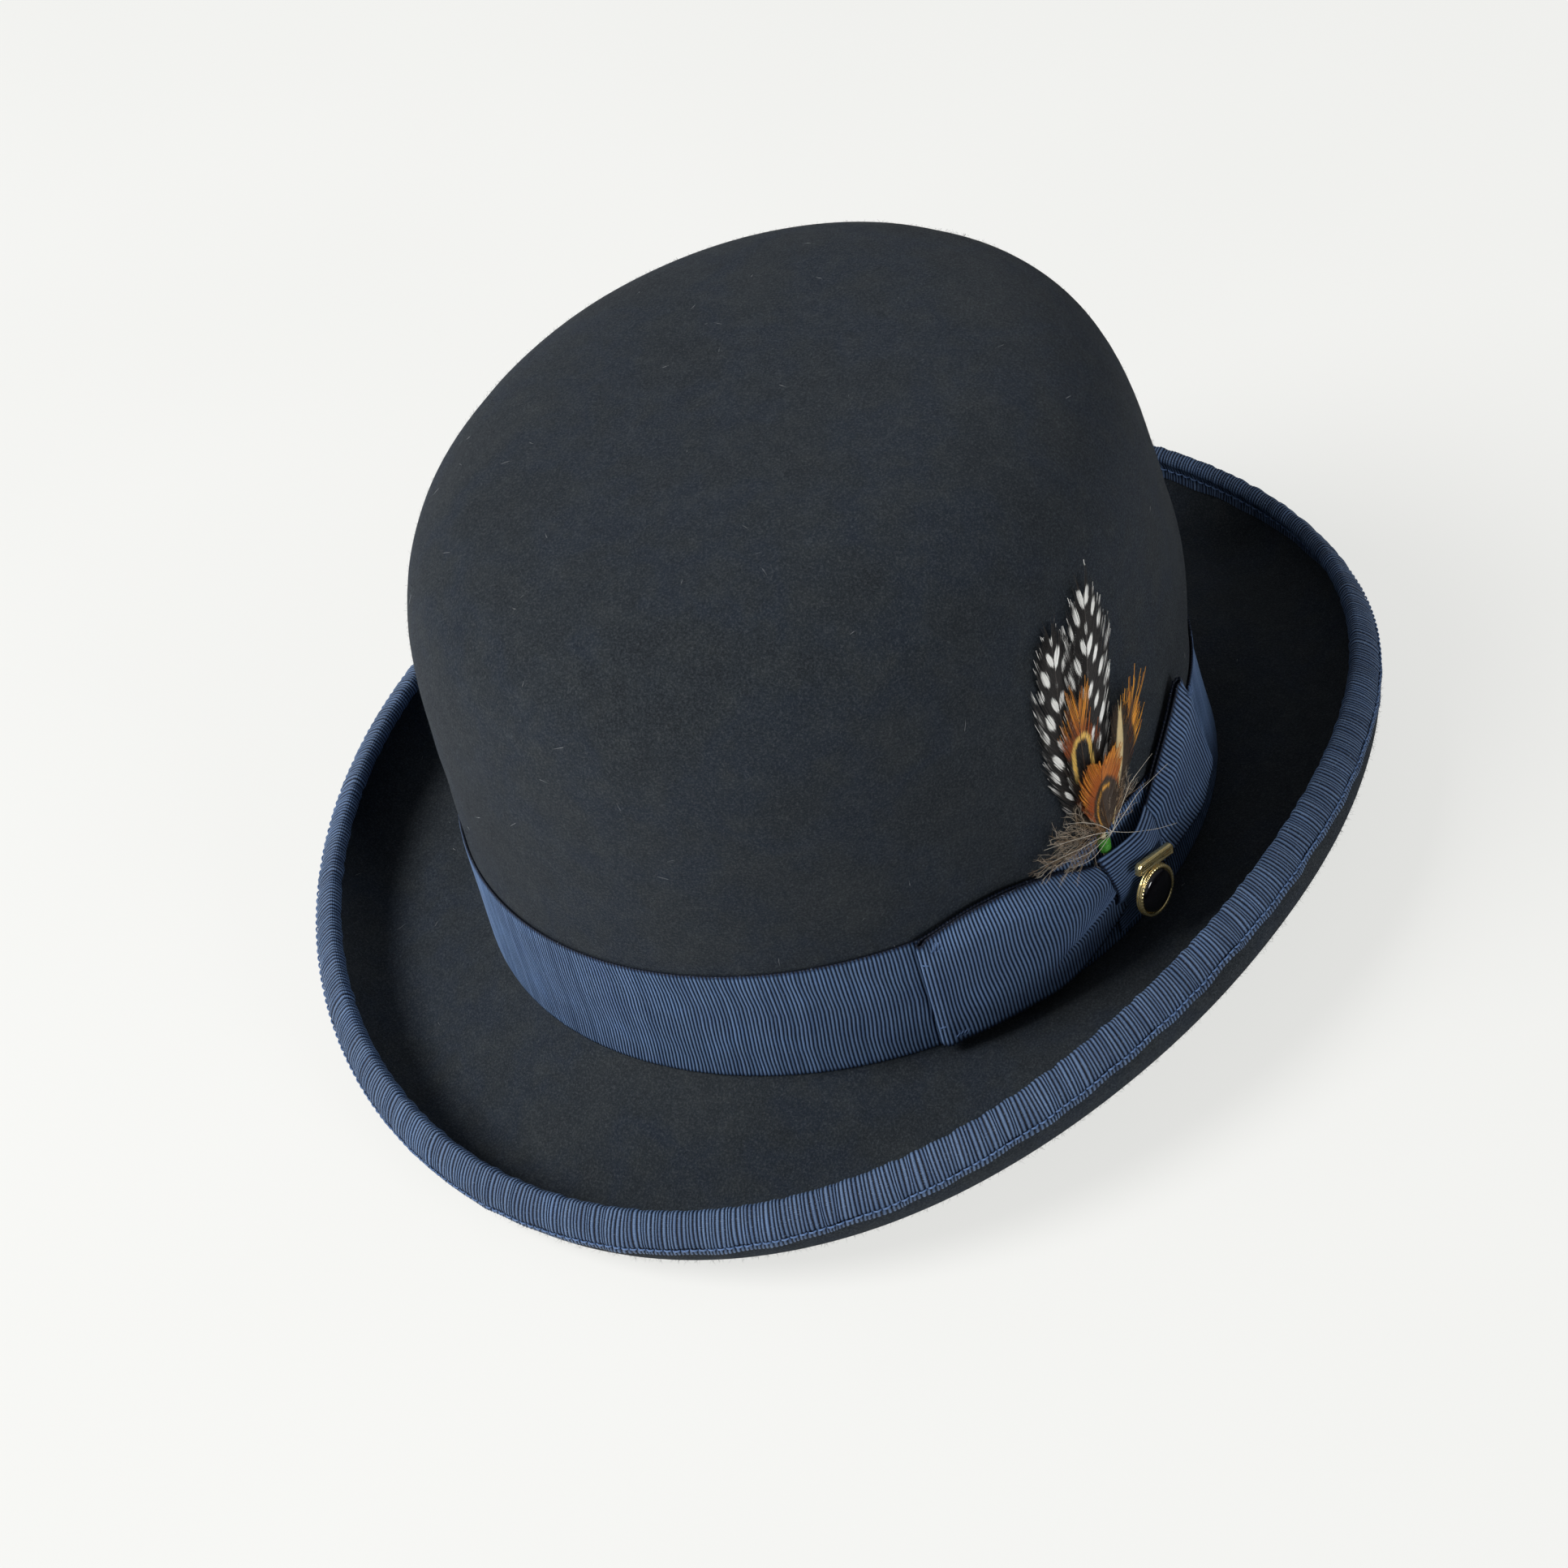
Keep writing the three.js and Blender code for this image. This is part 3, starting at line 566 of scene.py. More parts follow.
def piece(part, points, faces, material, body="hat", replacing=True, **attributes):
    """A finished piece: it replaces the CAD part of its name, or is an added detail."""
    points = np.asarray(points, float).reshape(-1, 3)
    name = part + "_visual" if replacing else part
    ob = mesh_object(name, points, outward(points, faces), material, attributes)
    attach(ob, body)
    if replacing:
        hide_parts(part)


def grid_faces(rows, columns, close_rows=False, close_columns=True):
    """Quads of a rows x columns grid of points."""
    i = np.arange(rows if close_rows else rows - 1)[:, None]
    j = np.arange(columns if close_columns else columns - 1)[None, :]
    next_row, next_column = (i + 1) % rows, (j + 1) % columns
    corners = [i * columns + j, i * columns + next_column,
               next_row * columns + next_column, next_row * columns + j]
    return np.stack(corners, -1).reshape(-1, 4).astype(np.int32)


def capped_faces(rows, columns):
    """Quads between rings and a fan to each of the two poles, the last two points."""
    i = np.arange(columns)
    following = (i + 1) % columns
    pole = np.full(columns, rows * columns)
    last = (rows - 1) * columns
    fans = [np.stack([pole, following, i], -1),
            np.stack([pole + 1, last + i, last + following], -1)]
    return [grid_faces(rows, columns), np.concatenate(fans)]


def capped_piece(part, rings, poles, material, **more):
    rings = np.asarray(rings)
    points = np.concatenate([rings.reshape(-1, 3), poles])
    piece(part, points, capped_faces(*rings.shape[:2]), material, **more)


def band_piece(part, rows, material, **more):
    """Rows that each close round the hat, the last joined to the first."""
    rows = np.stack(rows)
    piece(part, rows, [grid_faces(*rows.shape[:2], close_rows=True)], material, **more)


def sheet_piece(part, front, rear, material, **more):
    """A closed strip from its front and rear faces, columns x rows x 3 each."""
    ring = np.concatenate([front, rear[:, ::-1]], 1)
    columns, around = ring.shape[:2]
    j = np.arange(front.shape[1] - 1)
    end = np.stack([j, j + 1, around - 2 - j, around - 1 - j], -1)
    faces = [grid_faces(columns, around), end[:, ::-1], end + (columns - 1) * around]
    piece(part, ring, faces, material, **more)


def sweep(paths, radii, sides):
    """Closed round threads along each path (n x 3); returns points and faces."""
    points, quads, fans, base = [], [], [], 0
    angle = np.arange(sides) / sides * TAU
    for path, radius in zip(paths, radii):
        radius = np.broadcast_to(radius, len(path))[:, None, None]
        tangent = unit(np.gradient(path, axis=0))
        across = unit(np.cross(tangent, [0.123, 0.345, 0.931]))
        other = np.cross(tangent, across)
        ring = (cos(angle)[None, :, None] * across[:, None]
                + sin(angle)[None, :, None] * other[:, None])
        points += [(path[:, None] + radius * ring).reshape(-1, 3), path[[0, -1]]]
        quad, fan = capped_faces(len(path), sides)
        quads.append(quad + base)
        fans.append(fan + base)
        base += len(path) * sides + 2
    points = np.concatenate(points)
    return points, outward(points, [np.concatenate(quads), np.concatenate(fans)])


def thread_piece(part, paths, radii, material="thread", sides=6, **more):
    piece(part, *sweep(paths, radii, sides), material, **more)


def cloth_coords(along, across):
    """The attribute st: place along and across a cloth."""
    return np.stack(np.broadcast_arrays(along, across, 0.0), -1)


def there_and_back(values):
    return np.concatenate([values, values[::-1]])


# ---------------------------------------------------------------- felt body
def crown_levels():
    """Rises of the crown's rings; over the top they are even steps of the radius."""
    cap = (1 - np.linspace(0.05, 0.9, 16) ** TOP_POWER) ** (1 / SHOULDER_POWER)
    low = np.concatenate([np.linspace(0.02, 0.80, 34), np.linspace(0.80, 1, 52)[1:]])
    low = np.round(low, 6)
    return np.unique(np.concatenate([low[low < cap.min()], cap]))


def unevenness(points, amount):
    """A faint hand-blocked waviness of the felt."""
    turn, z = np.arctan2(points[..., 1], points[..., 0]), points[..., 2]
    broad = ring_wave(turn + z * 0.02, 5, [3, 5, 8])
    close = ring_wave(turn - z * 0.03, 6, [7, 11, 13])
    return (0.16 * broad + 0.10 * close) * amount


def felt_body():
    around = 360
    turn = np.arange(around) / around * TAU
    levels = crown_levels()
    reaches = np.concatenate([np.linspace(0, 0.06, 4)[1:], np.linspace(0.06, 1, 58)[1:]])
    rows = []
    for rise in levels[::-1]:                            # outer crown, top to foot
        uneven = unevenness(crown(turn, rise), 0.8 * smooth(1 - rise, 0.0, 0.25))
        rows.append(drawn_crown(turn, rise, uneven - 0.02))

    def brim_row(reach, out, amount, floor, rounding):
        fade = smooth(reach, 0.05, 0.4) * smooth(1 - reach, 0.0, 0.2)
        uneven = unevenness(brim(turn, reach, out), fade * amount)
        row = drawn_brim(turn, reach, out + uneven)
        row[:, 2] = smooth_max(row[:, 2], floor, rounding)   # stays above the table
        rows.append(row)

    for reach in reaches:                                # upper face of the brim
        brim_row(reach, out=0.0, amount=0.9, floor=FELT + 0.02, rounding=0.35)
    for angle in np.linspace(0, pi, 9)[1:-1]:            # rounded raw edge in the binding
        rows.append(brim(turn, 1.0, FELT / 2 * (cos(angle) - 1), 0.18 * sin(angle)))
    for reach in reaches[::-1]:                          # under face
        fade = smooth(reach, 0.05, 0.4) * smooth(1 - reach, 0.0, 0.2)
        row = drawn_brim(turn, reach, unevenness(brim(turn, reach), fade * 0.5) - FELT)
        row[:, 2] = smooth_max(row[:, 2], 0.02, 0.3)
        rows.append(row)
    fold = drawn_wall(turn, 0.0, -FELT * 0.45)           # where the brim turns up inside
    fold[:, 2] = foot_height(turn) + FOOT - FELT * 0.85
    rows.append(fold)
    for rise in [0.02, *levels[::2]]:                    # inner crown, foot to top
        rows.append(drawn_crown(turn, rise, -FELT))
    top = CROWN_HEIGHT + FOOT
    poles = [[0, LEAN * CROWN_HEIGHT, top], [0, LEAN * CROWN_HEIGHT, top - FELT]]
    capped_piece("felt_body", rows, poles, "felt")


felt_body()


# -------------------------------------------------------------- felt's nap
def nap_surface(kind, turn, place, out):
    if kind == "crown":
        return drawn_crown(turn, place, out)
    return drawn_brim(turn, place, out if kind == "brim" else -FELT - out)


def slivers(base, direction, normal, length, radius, curl, seed):
    """Short closed hairs lying along a surface, tips lifted off it."""
    g = np.random.default_rng(seed)
    count, length = len(base), length[:, None]
    direction = unit(direction)
    across = np.cross(normal, direction)
    bend = across * (g.uniform(-1, 1, (count, 1)) * curl * length)
    middle = base + direction * length * 0.55 + normal * length * 0.02 + bend * 0.6
    slim = radius * 0.8
    points = np.stack([
        base + across * radius, base - across * radius, base + normal * radius,
        middle + across * slim, middle - across * slim, middle + normal * slim,
        base + direction * length + bend], 1)
    start = (np.arange(count) * points.shape[1])[:, None, None]
    triangles = np.array([[0, 1, 2], [3, 5, 6], [5, 4, 6], [4, 3, 6]])
    quads = np.array([[0, 3, 4, 1], [1, 4, 5, 2], [2, 5, 3, 0]])
    return points, [(triangles + start).reshape(-1, 3), (quads + start).reshape(-1, 4)]


def nap(name, kind, count, seed, length, lift, material, radius, curl):
    g = np.random.default_rng(seed)
    turn = g.uniform(0, TAU, count)
    if kind == "crown":
        place = np.where(
            g.random(count) < 0.72, g.uniform(0.03, 0.97, count),
            (1 - g.uniform(0.1, 0.95, count) ** TOP_POWER) ** (1 / SHOULDER_POWER))
    else:
        place = g.uniform(0.04, 0.90 if kind == "brim" else 0.86, count)
    points = nap_surface(kind, turn, place, 0.0)
    if kind != "crown":                                  # none where the brim meets the table
        keep = points[:, 2] > (FELT if kind == "brim" else 0.0) + 0.35
        turn, place, points = turn[keep], place[keep], points[keep]
    step = 1e-3
    normal = unit(nap_surface(kind, turn, place, 0.5) - points)
    around = unit(nap_surface(kind, turn + step, place, 0.0) - points)
    upward = unit(nap_surface(kind, turn, np.clip(place + step, 0, 1), 0.0) - points)
    angle = g.uniform(0, TAU, len(points))[:, None]
    lengths = g.uniform(*length, len(points))
    lifts = g.uniform(*lift, len(points))[:, None]
    direction = around * cos(angle) + upward * sin(angle) + normal * lifts
    sunk = points - normal * 0.12
    piece(name, *slivers(sunk, direction, normal, lengths, radius, curl, seed + 1), material,
          replacing=False)


# name, surface, count, seed, length range, lift range, material, radius, curl
NAPS = [
    ("felt_nap_crown", "crown", 19500, 21, (0.5, 1.5), (0.25, 1.0), "felt_nap", 0.030, 0.25),
    ("felt_nap_brim", "brim", 15000, 22, (0.5, 1.2), (0.25, 0.9), "felt_nap", 0.032, 0.25),
    ("felt_nap_underbrim", "under", 20000, 23, (0.7, 2.0), (0.4, 1.3), "felt_nap", 0.032, 0.25),
    ("felt_lint", "crown", 130, 24, (0.8, 3.2), (0.02, 0.12), "felt_lint", 0.035, 0.9),
    ("felt_lint_brim", "brim", 50, 25, (0.7, 2.4), (0.02, 0.12), "felt_lint", 0.035, 0.9),
]
for row in NAPS:
    nap(*row)

# ------------------------------------------------------------ grosgrain ribbon
# Section of one rib: place along it and height of the cord there
RIB_PLACE = np.array([0.0, 0.16, 0.38, 0.62, 0.84])
RIB_CORD = np.array([0.0, 0.66, 1.0, 1.0, 0.66])


def rib_cords(count, seed=None):
    """Places along the ribbon in ribs and cord height at each, for count ribs.
    With a seed the cords vary a little in width and height."""
    places = (np.arange(count)[:, None] + RIB_PLACE[None, :]).ravel()
    cord = np.tile(RIB_CORD, count)
    if seed is not None:
        g = np.random.default_rng(seed)
        jog = g.uniform(-0.06, 0.06, count + 1)
        jog[-1] = jog[0]
        size, share = len(RIB_PLACE), np.tile(RIB_PLACE, count)
        places = places + jog[:-1].repeat(size) * (1 - share) + jog[1:].repeat(size) * share
        cord = cord * np.clip(g.normal(0.97, 0.035, count), 0.85, 1.05).repeat(size)
    return places, cord


def hat_band():
    count = 636
    places, cord = rib_cords(count, seed=31)
    base_turn = places / count * TAU
    shares = np.array([0, 0.012, 0.035, 0.08, 0.16, 0.26, 0.37, 0.48, 0.59, 0.70, 0.80, 0.88,
                       0.94, 0.975, 0.992, 1.0])
    liveliness = 0.65 + 0.35 * cos(base_turn + 0.9)      # more on the bow side

    def station(share):
        """Turn, with the sway of the ribs, and height a share of the way up the band."""
        sway = (0.42 * sin(TAU * (share * 0.75) + 2.1 * sin(2 * base_turn) + 0.4)
                + 0.20 * sin(TAU * share * 1.7 + 5 * base_turn)
                + 0.07 * sin(TAU * share * 3.1 + 41 * base_turn)) * liveliness
        turn = base_turn + sway / 95
        top = 35.4 - 0.265 * foot_height(turn)
        return turn, 1 + (top - 1) * share

    rows, ribs = [], []
    for share in shares:
        turn, height = station(share)
        edge = min(share, 1 - share)
        scallop = 0.22 * (cord - 0.35) * (1 - smooth(edge, 0, 0.02)) * (1 if share > 0.5 else -1)
        lie = 0.05 * ring_wave(base_turn + share * 0.8, 31, [3, 7, 12]) * smooth(edge, 0.0, 0.1)
        relief = 0.33 * cord * (1 - 0.55 * (1 - smooth(edge, 0, 0.03)))  # flatter selvedge
        rows.append(drawn_wall(turn, height + scallop, CLOTH_OUT + relief + lie))
        # painted shade and highlight: the flatter selvedge cords get a lower rib, so less painted
        # highlight
        ribs.append(cord * (0.55 + 0.45 * smooth(edge, 0, 0.02)))
    under = shares[[15, 11, 6, 3, 0]]
    for share in under:
        turn, height = station(share)
        rows.append(drawn_wall(turn, height, 0.25))
        # the hidden side against the felt gets the groove's painted shade
        ribs.append(0 * cord)
    across = np.concatenate([shares, under])[:, None] * BAND_WIDTH
    band_piece("hat_band", rows, "grosgrain", rib=ribs, st=cloth_coords(places, across))


hat_band()

# -------------------------------------------------------------- brim binding
BINDING_RIBS = 895
BINDING_UPPER, BINDING_UNDER = 0.862, 0.878   # reach of its edge on each face of the brim
BINDING_FACE = 0.42       # share of the binding's width on each face; the rest is the roll
STITCH_ROW = 0.84         # the under stitch row, as a share of the way in
UNDER_STITCH_REACH = 1 + (BINDING_UNDER - 1) * STITCH_ROW
UNDER_EDGE_WAVES = [23, 41, 67]


def binding_stations():
    """(face, reach, angle round the roll, share across) from the upper selvedge,
    over the rolled edge and back to the under selvedge."""
    upper = [0, 0.012, 0.05, 0.14, 0.3, 0.5, 0.72, 0.9]
    under = [0.08, 0.22, 0.38, 0.54, 0.68, 0.765, 0.805, 0.84, 0.875, 0.915, 0.955, 0.98, 1.0]
    return ([("upper", BINDING_UPPER + (1 - BINDING_UPPER) * q, 0, 0.42 * q) for q in upper]
            + [("edge", 1.0, a, 0.42 + 0.16 * a / pi) for a in np.linspace(0.0, pi, 7)]
            + [("under", 1 + (BINDING_UNDER - 1) * q, 0, 0.58 + 0.42 * q) for q in under])


def brim_binding():
    places, cord = rib_cords(BINDING_RIBS, seed=32)
    base_turn = places / BINDING_RIBS * TAU

    def wave(seed, counts):
        return ring_wave(base_turn, seed, counts)

    # gathers: sideways shift of the ribs, and lift off the felt
    shifts = [wave(41, [29, 43, 61]), wave(42, [71, 97, 113]), wave(48, [163, 197, 239])]
    lift = 0.13 * (wave(43, [83, 127, 149]) + wave(44, [173, 211, 247]))
    swell = 1 + 0.25 * wave(47, [90, 131])
    upper_edge, under_edge = wave(45, [37, 53]), wave(46, UNDER_EDGE_WAVES)
    scallop = 0.32 * (cord - 0.3)

    def gathered(share):
        away = abs(share - BINDING_FACE)
        shift = (0.75 * shifts[0] * away + 0.9 * shifts[1] * away**2
                 + 0.22 * shifts[2] * sin(pi * np.clip(away / 0.58, 0, 1)))
        return base_turn + shift * 1.2 / 140

    rows, ribs = [], []
    stations = binding_stations()
    for face, reach, angle, share in stations:
        turn = gathered(share)
        to_edge = min(share, 1 - share) / BINDING_FACE
        relief = 0.30 * (0.5 + 0.5 * smooth(to_edge, 0, 0.05)) * swell
        stitch = 0.0
        if face == "under":                              # pulled in along the stitches
            stitch = 0.34 * bell((1 - reach) / (1 - BINDING_UNDER), STITCH_ROW, 0.035)
        out = CLOTH_OUT + relief * cord + lift * smooth(to_edge, 0, 0.25) - stitch
        if face == "upper":
            beyond = (-scallop * (1 - smooth(share, 0, 0.02))
                      - 0.25 * upper_edge * (1 - smooth(share, 0, 0.2)))
            rows.append(brim(turn, reach, out, beyond))
        elif face == "edge":
            drop = -FELT / 2 + cos(angle) * (FELT / 2 + out)
            rows.append(brim(turn, 1.0, drop, sin(angle) * (0.2 + out)))
        else:
            beyond = (-scallop * (1 - smooth(1 - share, 0, 0.02))
                      - 0.35 * under_edge * (1 - smooth(1 - share, 0, 0.3)))
            rows.append(brim(turn, reach, -FELT - out, beyond))
        # painted shade: ribs along the under stitch row get half the rib, coloured darker as if
        # shaded in the pulled-in groove
        ribs.append(cord * (1 - 0.5 * (stitch > 0.15)))
    inside, gap = stations[::-1][::3], 0.16              # the side against the felt
    for face, reach, angle, share in inside:
        turn = gathered(share)
        if face == "upper":
            rows.append(brim(turn, reach, gap))
        elif face == "edge":
            drop = -FELT / 2 + cos(angle) * (FELT / 2 + gap)
            rows.append(brim(turn, 1.0, drop, sin(angle) * 0.34))
        else:
            rows.append(brim(turn, reach, -FELT - gap))
        # the side against the felt gets the groove's painted shade
        ribs.append(0 * cord)
    across = np.array([row[3] for row in stations + inside])[:, None] * 15.0
    band_piece("brim_binding", rows, "grosgrain_binding", rib=ribs,
               st=cloth_coords(places, across))


def binding_thread(part, count, under, seed):
    """A row of separate lock stitches; each lies on the ribbon and dives in at its ends."""
    g = np.random.default_rng(seed)
    q = np.linspace(0, 1, 9)
    lift = sin(pi * q) ** 0.6
    paths = []
    for i in range(count):
        turn = (i + 0.5) / count * TAU + (q - 0.5) * TAU / count * 0.80
        beyond = (q - 0.5) * g.uniform(-0.12, 0.12)
        jitter = g.uniform(-0.001, 0.001)
        if under:
            wander = 0.35 * ring_wave(turn, 46, UNDER_EDGE_WAVES) * 0.2 / 52
            reach, out = UNDER_STITCH_REACH + jitter - wander, -FELT - 0.72 - 0.42 * lift
        else:
            reach, out = 0.93 + jitter, 0.95 + 0.40 * lift
        paths.append(brim(turn, reach, out, beyond))
    thread_piece(part, paths, [0.19 + 0.03 * sin(pi * q)] * count)


brim_binding()
binding_thread("binding_thread_outer", count=400, under=True, seed=51)
binding_thread("binding_thread_inner", count=330, under=False, seed=52)


# ---------------------------------------------------------------- side bow
def across_ribbon(first, second, inner, count):
    """Shares across a ribbon, closer at both selvedges."""
    return np.concatenate([[0, first, second], np.linspace(inner, 1 - inner, count),
                           [1 - second, 1 - first, 1]])


def bow_ribbon(part, centre, places, cord, shares, relief=0.32):
    """A folded ribbon from its middle surface: centre is columns x rows x 3."""
    cord = cord[:, None]
    across = np.gradient(centre, shares, axis=1)
    normal = unit(np.cross(np.gradient(centre, axis=0), across))
    probe = len(normal) // 5, len(shares) // 2
    if np.dot(normal[probe], centre[probe] * (1, 1, 0)) < 0:     # faces away from the hat
        normal = -normal
    soft = 0.45 + 0.55 * smooth(np.minimum(shares, 1 - shares)[None, :], 0, 0.035)
    selvedge = (shares > 0.999).astype(float) - (shares < 0.001)
    scallop = 0.26 * (cord - 0.35) * selvedge[None, :]
    front = (centre + normal * (0.08 + relief * cord * soft)[..., None]
             + unit(across) * scallop[..., None])
    rear = centre - normal * (0.22 + 0.10 * cord * soft)[..., None]
    # painted shade: the rear face gets 0.4 of the rib, so it is coloured darker than the front;
    # the selvedges, where soft is lower, get less painted highlight
    rib = np.concatenate([cord * soft, 0.4 * cord * soft[:, ::-1]], 1)
    sheet_piece(part, front, rear, "grosgrain", rib=rib,
                st=cloth_coords(places[:, None], there_and_back(shares)[None, :] * 34))


def loop_path(path, span):
    """A loop's path as (share of the span, distance out) rows: both as smooth
    functions of the length along it, and that length."""
    share, out = np.array(path, float).T
    run = np.concatenate([[0], np.cumsum(np.hypot(np.diff(share) * span, np.diff(out)))])
    return curve(list(zip(run, share))), curve(list(zip(run, out))), run[-1]


def front_loop():
    """The long loop to the front, creased from the knot and turned back under itself."""
    near, far = -7, -61.2                                # ends of the loop, along
    # edges and crease: (along, height)
    lower = curve([(-62, 2.6), (-52, 4.2), (-42, 5.2), (-31, 5.6), (-22, 7), (-14, 8.6),
                   (-7, 11)])
    upper = curve([(-62, 35.5), (-55, 37.6), (-47, 39.3), (-40, 39.5), (-33, 38.4),
                   (-24, 35.4), (-15, 30.5), (-7, 28)])
    crease = curve([(-62, 8), (-36, 9.5), (-33, 12.5), (-29, 15.2), (-23, 17.2), (-16, 18.6),
                    (-10, 20), (-6, 20.6)])
    path = [(0, 3.7), (0.1, 4.1), (0.22, 4.9), (0.37, 5.4), (0.55, 5.3), (0.76, 4.6),
            (0.92, 3.9), (0.995, 3.6), (1.013, 2.65), (0.995, 1.75), (0.92, 1.7),
            (0.72, 1.7), (0.52, 1.7), (0.32, 1.7), (0.15, 1.7)]
    share_at, out_at, length = loop_path(path, near - far)
    count = int(length / 0.94)
    places, cord = rib_cords(count)
    shares = across_ribbon(0.008, 0.022, 0.045, 60)
    place, across = np.meshgrid(places, shares, indexing="ij")
    run = place * (length / count)
    outer = 1 - smooth(run, 52, 55)                      # 1 on the outer layer

    # how far the ribs bend out of square, worked out on the straight ribbon
    along = near + (far - near) * share_at(run)
    low, high, fold = lower(along), upper(along), crease(along)
    above = low + (high - low) * across - fold
    upness = np.clip(above / np.maximum(1, high - fold), 0, 1)
    bend = -2.1 * smooth(along, -40, -13) * outer * sin(pi * upness) ** 0.8 * (above > 0)
    bend += (3.4 * smooth(along, -34, -15) * outer * exp(-np.abs(above) / 3.0)
             * smooth(above, -3.5, 0.5))
    bend += 0.30 * sin(TAU * across * 0.9 + 0.11 * run)
    bend += 0.14 * sin(TAU * across * 2.1 + 0.2 * run)
    bend += 0.72 * (across - 0.5) * smooth(-along, 20, 58)
    run_bent = run + bend * smooth(run, 0, 4) * (1 - smooth(run, 48, 54))
    run_bent = np.clip(run_bent, 0, length)

    along, out = near + (far - near) * share_at(run_bent), out_at(run_bent)
    low, high = lower(along), upper(along)
    height = low + (high - low) * across
    above = height - crease(along)
    relief = smooth(along, -35, -19) * outer * (
        0.50 * np.tanh(above / 0.55) + 0.45 * bell(above, 1.2, 1.3)
        - 0.55 * bell(above, -0.7, 0.8) - 0.75 * smooth(-above, 0, 7))
    # rolls over to its upper edge, which lies against the crown
    relief -= 0.85 * outer * smooth(along, -30, -10) * smooth(above, 6, 17)
    relief -= np.maximum(0, out + relief - 2.45) * smooth(across, 0.80, 1.0) * outer
    relief += (0.16 * sin(along * 0.23 + height * 0.11) * outer * smooth(run, 3, 12)
               * (1 - smooth(run, 46, 53)))
    centre = side(along, height, np.maximum(out + relief, 1.55))
    bow_ribbon("bow_front_loop", centre, places, cord, shares)


def rear_loop():
    """The short loop rising to the back, with a pleat fading out from the knot."""
    # corners: (along, height)
    near_low, near_high, far_low, far_high = (8, 11.5), (3.5, 30), (39, 18), (33, 49)
    path = [(0, 3.7), (0.12, 4.0), (0.3, 4.7), (0.5, 5.0), (0.75, 4.6), (0.97, 3.6),
            (1.0, 2.65), (0.97, 1.75), (0.75, 1.7), (0.5, 1.7), (0.2, 1.7)]
    share_at, out_at, length = loop_path(path, 30.0)
    count = int(length / 0.93)
    places, cord = rib_cords(count)
    shares = across_ribbon(0.008, 0.022, 0.045, 58)
    place, across = np.meshgrid(places, shares, indexing="ij")
    run = place * (length / count)
    outer = 1 - smooth(run, 28, 31)
    bend = (-0.9 * sin(pi * across) * outer * (1 - smooth(run, 18, 30))
            + 0.22 * sin(TAU * across * 1.2 + 0.2 * run))
    run = np.clip(run + bend * smooth(run, 0, 3) * (1 - smooth(run, 24, 30)), 0, length)
    share, out = share_at(run), out_at(run)
    # the upper edge bows out 1.6 and the lower one 1.0
    bow = sin(pi * np.clip(share, 0, 1)) * (1.6 * across - 1.0 * (1 - across))
    along, height = (
        (near_low[i] * (1 - share) + far_low[i] * share) * (1 - across)
        + (near_high[i] * (1 - share) + far_high[i] * share) * across for i in (0, 1))
    above = (across - (0.46 - 0.18 * np.clip(share, 0, 1))) * 30     # from the pleat
    relief = (1 - smooth(share, 0.25, 0.62)) * outer * (
        0.5 * np.tanh(above / 0.6) + 0.4 * bell(above, 1.1, 1.2)
        - 0.5 * bell(above, -0.7, 0.8) - 0.6 * smooth(-above, 0, 6))
    # stands a little off the crown, its upper edge held down
    relief += outer * 0.5 * smooth(share, 0.1, 0.7) * smooth(across, 0.45, 0.8)
    relief -= np.maximum(0, out + relief - 2.7) * smooth(across, 0.82, 1.0) * outer
    centre = side(along - bow * 0.5, height + bow * 0.8, np.maximum(out + relief, 1.55))
    bow_ribbon("bow_rear_loop", centre, places, cord, shares)


def knot():
    tilt, middle_along, middle_height, length = np.radians(6), -2.5, 19, 28
    # (share up the knot, distance out)
    depth = curve([(0, 1.7), (0.18, 2.2), (0.32, 3.8), (0.44, 6.1), (0.55, 7.3), (0.66, 7.5),
                   (0.8, 7.2), (0.92, 6.6), (1, 5.2)])
    count = 30
    places, cord = rib_cords(count)
    shares = across_ribbon(0.012, 0.03, 0.06, 40)
    place, across = np.meshgrid(places, shares, indexing="ij")
    offset = across * 2 - 1                              # -1 at the front edge, 1 at the back
    up = place / count
    # ribs arch a little upwards across the knot
    up = np.clip(up + (0.035 * sin(pi * across * 1.1) + 0.03 * (across - 0.5)) * sin(pi * up),
                 0, 1)
    over = offset * (9.4 - 0.8 * sin(pi * up))
    rise = length * (up - 0.5)
    ridge = 0.22 + 0.10 * sin(pi * up)
    gap = np.abs(offset - ridge)
    fall = np.where(offset < ridge, (gap / (1 + ridge)) ** 1.5, (gap / (1 - ridge)) ** 1.15)
    drop = np.minimum(2.3, depth(up) - 1.4) * fall
    valley = 0.45 * bell(offset, -0.45, 0.16) * sin(pi * up)     # a gather before the ridge
    along = middle_along + over * cos(tilt) - rise * sin(tilt)
    height = middle_height + over * sin(tilt) + rise * cos(tilt)
    centre = side(along, height, depth(up) - drop - valley + 0.3)
    bow_ribbon("bow_knot", centre, places, cord, shares, relief=0.30)


